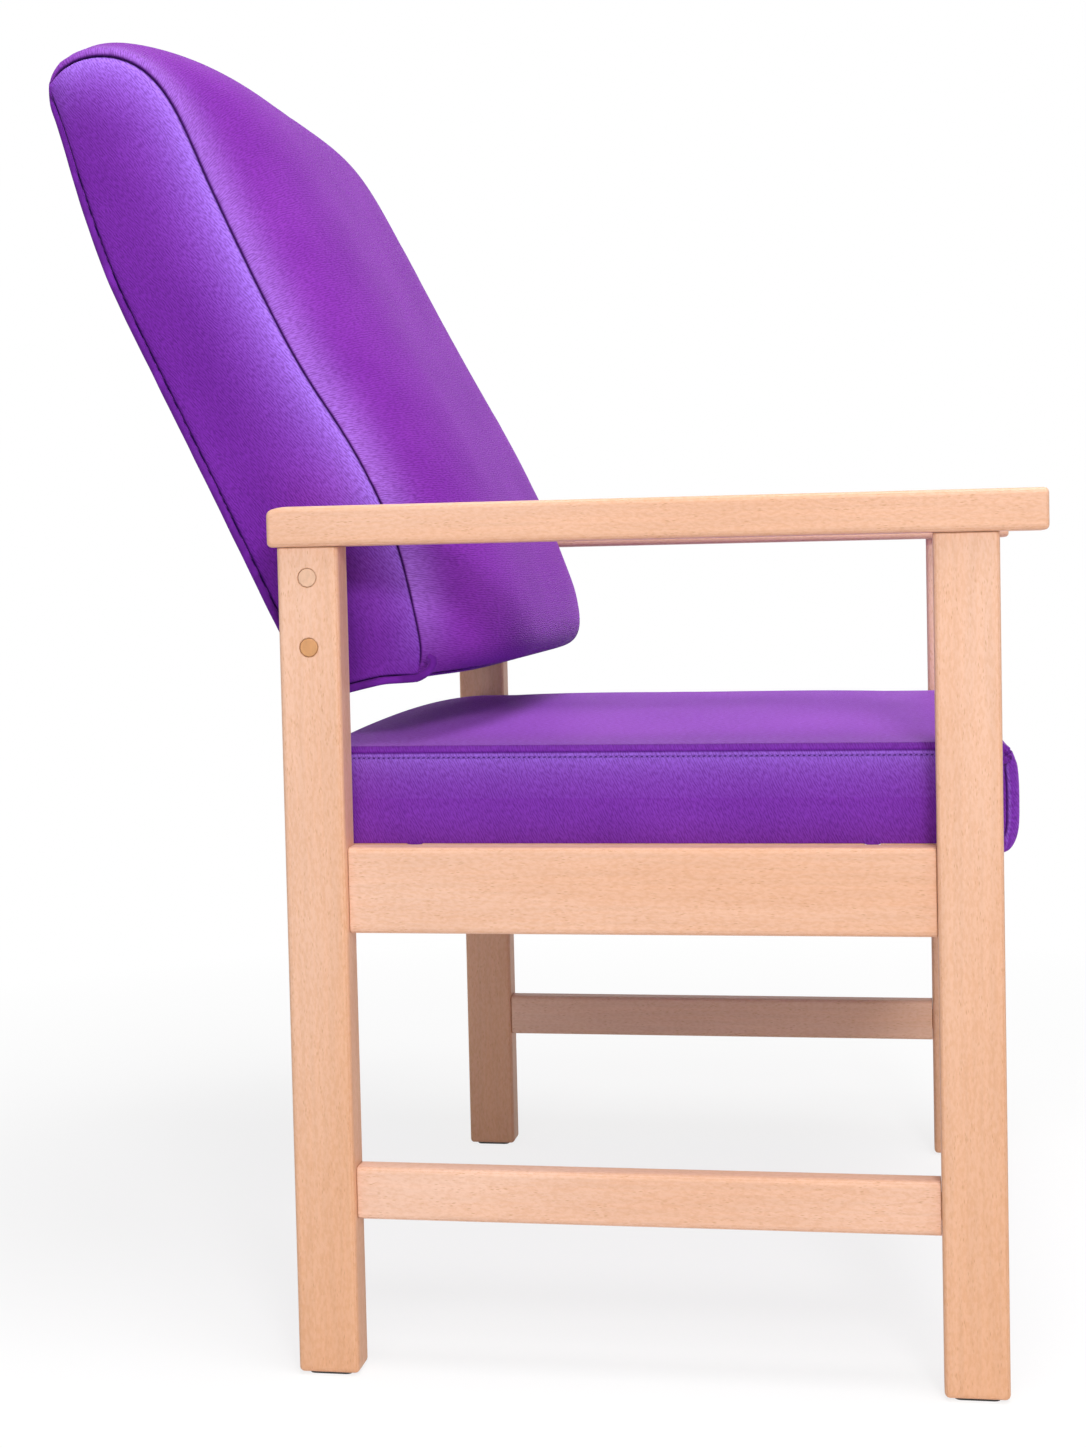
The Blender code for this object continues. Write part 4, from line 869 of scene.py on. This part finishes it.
def seatOutline():
    # ahead and up from the board: from the lip along the foot to the rear, over the top, down the front band
    heel, nose = seat["heelRadius"], seat["noseRadius"]
    foot = [(seat["lipAhead"], -seat["lipDrop"]), (seat["lipAhead"], 0.0), (seat["rear"], 0.0)]
    rear = arc((seat["rear"] + heel, seat["top"] - heel), heel, 180, 90)
    front = arc((seat["front"] - seat["noseBack"], seat["top"] - nose), nose, 90, 90 - seat["noseTurn"])
    band = smoothLine(seat["band"], seat["bandSteps"])
    line = np.vstack([foot, rear, front, band, foot[:1]])
    stretch = travel(line)
    bandStart = len(foot) + len(rear) + len(front)
    heelAt = stretch[len(foot) + 5]  # where the top panel is sewn to the rear band, part-way round the arc
    noseAt = (stretch[bandStart - 1] + stretch[bandStart]) / 2  # and to the front band
    bandEnd = stretch[bandStart + len(band) - 1]

    # stops along the outline: fine at both seams and at the cleats' ends, and even between
    fine = np.array(seat["stops"])
    gapEnds = stretch[1] + seat["lipAhead"] - np.array(cleatGaps).ravel()
    crossings = np.concatenate([heelAt - fine, heelAt + fine[1:], noseAt - fine, noseAt + fine[1:],
                                gapEnds - seat["gapStep"], gapEnds + seat["gapStep"]])
    even = np.concatenate([np.arange(0.0, noseAt, seat["alongStep"]),
                           np.arange(noseAt, bandEnd, seat["noseStep"]),
                           np.linspace(bandEnd, stretch[-1], 6)[:-1]])
    even = even[np.abs(even[:, None] - crossings[None, :]).min(axis=1) > seat["clear"]]
    stops = np.sort(np.concatenate([even, crossings]))
    points = np.stack([np.interp(stops, stretch, line[:, k]) for k in range(2)], axis=1)
    points[:, 1] += seatFoot - seat["settle"] * (np.abs(points[:, 1]) < 1e-6)
    fromSeams = np.minimum(np.abs(stops - heelAt), np.abs(stops - noseAt))
    return points, fromSeams, stops - noseAt, bandEnd - noseAt


outline, fromCrossSeam, downBand, bandLength = seatOutline()
for start, end in cleatGaps:
    between = np.clip((2 * outline[:, 0] - start - end) / (end - start), -1, 1)
    sag = seat["cleatSag"] * crownLevels(between, seat["cleatPower"])
    outline[:, 1] -= sag * (outline[:, 1] < seatFoot + 0.001)
ahead, up = outline[:, 0], outline[:, 1] - seatFoot

halfAhead = (seat["front"] - seat["noseBack"] - seat["rear"] - seat["crownInset"]) / 2
along = np.clip((ahead - seat["rear"] - seat["crownInset"] - halfAhead) / halfAhead, -1, 1)
along *= np.where(along < 0, seat["rearReach"], 1)  # part of the crown carries over the rear seam
upper = np.clip(up / seat["top"] * 2 - 0.9, 0, 1)
lift = crownLevels(along, seat["alongPower"]) * seat["crown"] * upper

# radius of the long edges: full at the front corners, almost none at the foot
cornerTop, cornerLow = seat["cornerOver"]
footFrom, footOver = seat["footOver"]
onBand = climb(downBand, cornerTop) * climb(bandLength - downBand, cornerLow)
onFoot = climb(footFrom - up, footOver) * (downBand < 0)
onFoot = np.maximum(onFoot, climb(downBand - bandLength + seat["footBand"], seat["footBand"]))
radius = seat["edgeRadius"] + (seat["cornerRadius"] - seat["edgeRadius"]) * onBand
radius = radius + (seat["footRadius"] - radius) * onFoot
beside = seat["evenedOver"] // 2
radius = np.convolve(np.concatenate([radius[-beside:], radius, radius[:beside]]),
                     np.ones(seat["evenedOver"]) / seat["evenedOver"], "valid")

# the top, the ends and the foot as one closed sleeve, with a groove and a lip at each cross seam
seatShares = acrossShares(halfSeat - seat["edgeRadius"], seat["spacing"])
crossGroove = seat["crossDepth"] * fadeOver(fromCrossSeam, seat["seamWidth"])
crossLip = seat["crossLip"] * seat["lipPuff"] * fadeOver(downBand + seat["lipAt"], seat["crossLipWidth"])
outward = offsetLine(outline, 1.0, closed=True) - outline
topLine = outline + outward * (crossLip - crossGroove)[:, None]
bowed = climbPast(up, seat["bowUp"]) * climbPast(ahead, seat["bowAhead"])
bowed = seat["bow"] * bowed[:, None] * crownLevels(seatShares, seat["bowPower"])[None, :]
lifted = lift[:, None] * crownLevels(seatShares, seat["acrossPower"])[None, :]
topGrid = np.stack([seatShares[None, :] * (halfSeat - radius)[:, None], topLine[:, None, 0] - bowed,
                    topLine[:, None, 1] + lifted], axis=-1)
# painted shade along the cross seams
topShade = seat["seamDark"][0] * fadeOver(fromCrossSeam, seat["seamDark"][1])[:, None]
topShade = topShade * np.ones(len(seatShares))


def foldRings(angles):
    # the long edge turns over its radius down to the side seam, puckered where it follows the front band
    inward = offsetLine(topLine, -1.0, closed=True) - topLine
    puckered = ripple(downBand, 31, seat["puckerWaves"]) * seat["pucker"] * (1 + onBand) * onBand
    rings = []
    for angle in angles:
        ring = topLine + inward * (radius * (1 - math.cos(angle)))[:, None]
        out = puckered * math.sin(angle) ** 4 * (angle < angles[-1])
        rings.append(np.column_stack([halfSeat - radius * (1 - math.sin(angle)) + out, ring]))
    return rings


def sideRuns(inner):
    # straight runs from the fold in to a line along the band's middle, with fine steps near the stitches
    rearInset, frontInset = seat["spineInset"]
    spine = np.column_stack([np.clip(inner[:, 0], seat["rear"] + rearInset, seat["front"] - frontInset),
                             np.full(len(inner), seatFoot + seat["top"] * seat["spineUp"])])
    reach = np.linalg.norm(spine - inner, axis=1)[:, None]
    near = np.array(seat["depths"])
    beyond = np.linspace(0, 1, seat["depthSteps"])[None, 1:] ** seat["depthPower"]
    depth = np.concatenate([np.repeat(near[None, :], len(inner), axis=0),
                            (reach - near[-1]) * beyond + near[-1]], axis=1)
    return depth, inner[:, None, :] + (spine - inner)[:, None, :] * (depth / reach)[:, :, None]


def seatSide():
    # the left side with its look: a fold, a groove at the seam, a lip with stitches sunk in it, and a belly
    angles = np.radians(np.linspace(0, 90, seat["foldSteps"]))
    folds = len(angles) - 1
    rings = foldRings(angles)
    inner = rings[-1][:, 1:]
    innerUp = inner[:, 1] - seatFoot
    depth, band = sideRuns(inner)
    bellyFrom, bellyOver = seat["bellyEnds"]
    belly = seat["sideBelly"] * inFrom(depth, seat["bellyWidth"])
    belly = belly * climb(seat["front"] - bellyOver - band[:, :, 0], bellyOver)
    belly = belly * climb(band[:, :, 1] - seatFoot, seat["bellyUp"])
    belly = belly * climb(band[:, :, 0] - bellyFrom, bellyOver)
    onFold = climb(innerUp - seat["foldFrom"], seat["foldFrom"])[:, None]
    groove = seat["seamDepth"] * fadeOver(depth, seat["seamWidth"]) * onFold
    lip = onFold * seat["lipPuff"] * fadeOver(depth - seat["lipAt"], seat["lipWidth"])
    stitched = seat["stitchSink"] * onFold * fadeOver(depth - seat["stitchInset"], seat["stitchSinkWidth"])
    bandGrid = np.concatenate([(halfSeat + belly - groove + lip - stitched)[:, :, None], band], axis=2)
    rings[-1][:, 0] -= seat["seamDepth"] * onFold[:, 0]
    grid = np.concatenate([np.stack(rings, axis=1), bandGrid[:, 1:]], axis=1)

    # painted shade in the crease under the fold, along the stitch line and in the corner fold
    onTop = climb(innerUp - seat["top"] * seat["topFrom"], 0.01)[:, None]
    beforeNose = climb(seat["front"] - seat["noseBack"] - inner[:, :1], 0.003)
    creaseShade, creaseLess, creaseWidth = seat["foldShade"]
    stitchShade, stitchWidth = seat["stitchShade"]
    cornerShade, cornerWidth = seat["cornerShade"]
    stitchLine = stitchShade * fadeOver(depth - seat["stitchInset"], stitchWidth) * onTop * beforeNose
    dark = np.zeros(grid.shape[:2])
    dark[:, folds:] = (creaseShade - creaseLess * onTop) * fadeOver(depth, creaseWidth) * onFold
    dark[:, folds:] = np.maximum(dark[:, folds:], stitchLine)
    dark[:, :folds] = cornerShade * fadeOver(fromCrossSeam, cornerWidth)[:, None]
    # painted highlight: a little over the fold, more at the front corners, and down the side to the stitches
    paintedHighlight = np.full(grid.shape[:2], seat["rimHighlight"] * seat["topHighlight"])
    paintedHighlight[:, folds - 1] = seat["cornerHighlight"] * onBand
    toStitches = seat["sideHighlight"] * onTop * np.exp(
        -np.maximum(depth - seat["stitchInset"], 0) / seat["sideHighlightReach"])
    paintedHighlight[:, folds:] += toStitches * beforeNose * climb(depth, seat["sideHighlightStart"])

    fromFold = np.concatenate([np.zeros((len(inner), folds)), depth], axis=1)
    fromEnds = np.minimum(grid[:, :, 1] - seat["rear"], seat["front"] - grid[:, :, 1])
    loose = climbPast(fromFold, seat["looseFold"]) * climbPast(fromEnds, seat["looseEnds"])
    loose = loose * climbPast(grid[:, :, 2] - seatFoot, seat["looseFoot"])
    stitchRow = int(np.argmin(np.abs(np.array(seat["depths"]) - seat["stitchInset"])))
    track = bandGrid[:, stitchRow][innerUp > seat["top"] * seat["trackFrom"]]
    return grid, dark, paintedHighlight, loose, track[np.argsort(track[:, 1])]


def seatWorld(grid):
    # from (x, ahead, up) to the chair's own X, Y and Z
    return np.stack([grid[..., 0], rearPlane - grid[..., 1], grid[..., 2]], axis=-1)


def overSeat(top, side):
    # values for the top and the two sides, with the first row again at the end of each
    return [np.concatenate([values, values[:1]], axis=0) for values in (top, side, side)]


def stitchesAlong(track, start, end):
    # one short capsule for each stitch: half circles carried along a straight line with rounded ends
    count = int((end - start) / seat["stitchPitch"])
    middles = start + (np.arange(count) + 0.5) * seat["stitchPitch"]
    centre = np.stack([np.interp(middles, track[:, 1], track[:, k]) for k in range(3)], axis=1)
    slope = np.interp(middles, track[:, 1], np.gradient(track[:, 2], track[:, 1]))
    lean = np.random.RandomState(7).normal(*seat["stitchLean"], count)
    ahead = np.stack([np.zeros(count), np.cos(lean), slope + np.sin(lean)], axis=1)
    upward = np.stack([np.zeros(count), -np.sin(lean), np.cos(lean)], axis=1)
    outward = np.array([1.0, 0.0, 0.0])[None, :] * np.sign(track[0, 0])
    lengthwise = np.linspace(-1, 1, 7)
    girth = np.sqrt(np.maximum(crownLevels(lengthwise, seat["stitchBlunt"]), 0.0))
    turn = np.linspace(0, 2 * math.pi, 9)
    bow = crownLevels(lengthwise, 2) * seat["stitchBow"]
    run = (lengthwise * seat["stitchLength"] / 2)[:, None, None]
    spot = centre[:, None, None, :] + ahead[:, None, None, :] * run
    spot = spot + outward * (bow[:, None, None] + seat["stitchGap"])
    ring = np.cos(turn)[:, None] * upward[:, None, None, :] + np.sin(turn)[:, None] * outward
    return spot + ring * (girth * seat["stitchRadius"])[:, None, None]


sideGrid, sideShade, sideHighlight, sideLoose, stitchTrack = seatSide()
seatGrids = [seatWorld(grid * (sign, 1, 1)) for grid, sign in zip(overSeat(topGrid, sideGrid), (1, -1, 1))]
seatCloth = [clothPlaces(seatGrids[0], seat["topRidge"], seat["topAcross"])]
seatCloth += [clothPlaces(grid, seat["sideRidge"], seat["sideAcross"]) for grid in seatGrids[1:]]
fromTopEdge = edgeDistance(topGrid)
topLoose = (climbPast(fromCrossSeam, seat["looseSeam"]) * climbPast(up, seat["looseUp"]))[:, None]
topLoose = topLoose * climbPast(fromTopEdge, seat["looseTop"])
# painted highlight over the seat's top, stronger along its edges
topHighlight = seat["topHighlight"] + seat["edgeHighlight"] * fadeOver(fromTopEdge, seat["edgeHighlightReach"])
topHighlight = (upper * climb(-downBand, 0.010))[:, None] * topHighlight
seatPiece = meshFrom("seatCushion", seatGrids, seatVinyl, {
    "seam": overSeat(topShade, sideShade), "cloth": seatCloth, "paintedHighlight": overSeat(topHighlight, sideHighlight),
    "loose": overSeat(topLoose, sideLoose),
    "front": overSeat(np.ones(topHighlight.shape), np.zeros(sideHighlight.shape))})
swollen(seatPiece)
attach(seatPiece, "root")
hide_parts("seat_cushion")
print("seat cushion:", len(seatPiece.data.polygons), "faces")

stitchGrids = [seatWorld(capsule) for sign in (-1, 1) for capsule in stitchesAlong(
    stitchTrack * (sign, 1, 1), seat["rear"] + seat["stitchedFrom"], seat["front"] - seat["stitchedTo"])]
stitchPiece = meshFrom("seatStitches", stitchGrids, thread)
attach(stitchPiece, "root")
print("seat stitches:", len(stitchGrids))


# room, lights and camera

room = {
    "floor": 30.0, "floorTone": 0.85, "floorRoughness": 0.9, "white": 1.0,
    "worldStrength": 0.40, "farStrength": 0.20, "dimmedFrom": -0.6, "dimmedTo": 0.8,
    "shadowKept": 0.20, "shadowReach": (0.7, 1.5),
}
lamps = [  # name, place, aim, size, power
    ("keyLamp", (-0.6, -0.5, 3.3), (0.0, -0.1, 0.5), 1.4, 64.0),
    ("softLamp", (-2.7, -1.0, 2.1), (0.0, 0.0, 0.7), 0.7, 36.0),
    ("frontLamp", (-0.9, -3.2, 1.9), (0.0, 0.0, 0.7), 2.0, 5.0),
    ("sideLamp", (-3.4, 0.4, 1.6), (0.0, 0.0, 0.5), 1.8, 17.0),
]
cameraView = {
    "x": -1.78594, "ahead": 0.46686, "z": 0.61193, "turn": (87.4756, 1.2365, -81.0793),
    "lens": 50.6578, "sensor": 36.0, "shift": (-0.032248, -0.050514),
}


def seenDirectly(tree):
    # one for what the camera sees, straight or mirrored or through glass
    path = addNode(tree, "ShaderNodeLightPath").outputs
    straight = combined(tree, "MAXIMUM", path["Is Camera Ray"], path["Is Glossy Ray"])
    return combined(tree, "MAXIMUM", straight, path["Is Transmission Ray"])


world = bpy.data.worlds.new("studio")
bpy.context.scene.world = world
world.use_nodes = True
worldTree = world.node_tree
skyward = addNode(worldTree, "ShaderNodeTexCoord").outputs["Generated"]
towardLeft = addNode(worldTree, "ShaderNodeSeparateXYZ", {0: skyward}).outputs["X"]
sideStrength = addNode(worldTree, "ShaderNodeMapRange", {
    "Value": towardLeft, "From Min": room["dimmedFrom"], "From Max": room["dimmedTo"],
    "To Min": room["worldStrength"], "To Max": room["farStrength"]})
toWhite = addNode(worldTree, "ShaderNodeMapRange", {
    "Value": seenDirectly(worldTree), "To Min": sideStrength.outputs[0], "To Max": room["white"]})
background = worldTree.nodes["Background"]
background.inputs["Color"].default_value = (1, 1, 1, 1)
worldTree.links.new(toWhite.outputs[0], background.inputs["Strength"])

half = room["floor"] / 2
floorStops = np.linspace(-half, half, 3)
floorGrid = np.stack(np.meshgrid(floorStops, floorStops, indexing="ij"), axis=-1)
floorGrid = np.concatenate([floorGrid, np.zeros(floorGrid.shape[:2] + (1,))], axis=2)
floorMaterial, floorTree, floorShader = nodeMaterial("floorPaint", room["floorRoughness"])
feed(floorTree, floorShader.inputs["Base Color"], mixColour(
    floorTree, seenDirectly(floorTree), room["floorTone"], room["white"]))
floorShader.inputs["Specular IOR Level"].default_value = 0.0
fromChair = addNode(floorTree, "ShaderNodeVectorMath", {0: placed(floorTree)}, operation="LENGTH")
bareWhite = addNode(floorTree, "ShaderNodeMapRange", {
    "Value": fromChair.outputs["Value"],
    "From Min": room["shadowReach"][0], "From Max": room["shadowReach"][1],
    "To Min": 1 - room["shadowKept"], "To Max": 1.0})
whiteShare = combined(floorTree, "MULTIPLY", bareWhite.outputs[0], seenDirectly(floorTree))
floorWhite = addNode(floorTree, "ShaderNodeEmission", {"Color": (1, 1, 1, 1), "Strength": room["white"]})
floorMix = addNode(floorTree, "ShaderNodeMixShader", {0: whiteShare, 1: floorShader.outputs[0],
                                                      2: floorWhite.outputs[0]})
floorTree.links.new(floorMix.outputs[0], floorTree.nodes["Material Output"].inputs["Surface"])
floor = meshFrom("floor", [floorGrid], floorMaterial)

for name, place, aim, size, power in lamps:
    light = bpy.data.lights.new(name, "AREA")
    light.shape = "DISK"
    light.size = size
    light.energy = power
    lamp = bpy.data.objects.new(name, light)
    bpy.context.scene.collection.objects.link(lamp)
    toward = np.subtract(aim, place)
    toward /= np.linalg.norm(toward)
    lamp.location = place
    lamp.rotation_euler = (math.acos(-toward[2]), 0.0, math.atan2(toward[1], toward[0]) - math.pi / 2)

lens = bpy.data.cameras.new("camera")
lens.lens = cameraView["lens"]
lens.sensor_width = cameraView["sensor"]
lens.sensor_fit = "AUTO"
lens.shift_x, lens.shift_y = cameraView["shift"]
camera = bpy.data.objects.new("camera", lens)
bpy.context.scene.collection.objects.link(camera)
camera.location = (cameraView["x"], rearPlane - cameraView["ahead"], cameraView["z"])
camera.rotation_euler = [math.radians(angle) for angle in cameraView["turn"]]
bpy.context.scene.camera = camera
bpy.context.scene.view_settings.view_transform = "Standard"
print("room:", len(lamps), "lamps")
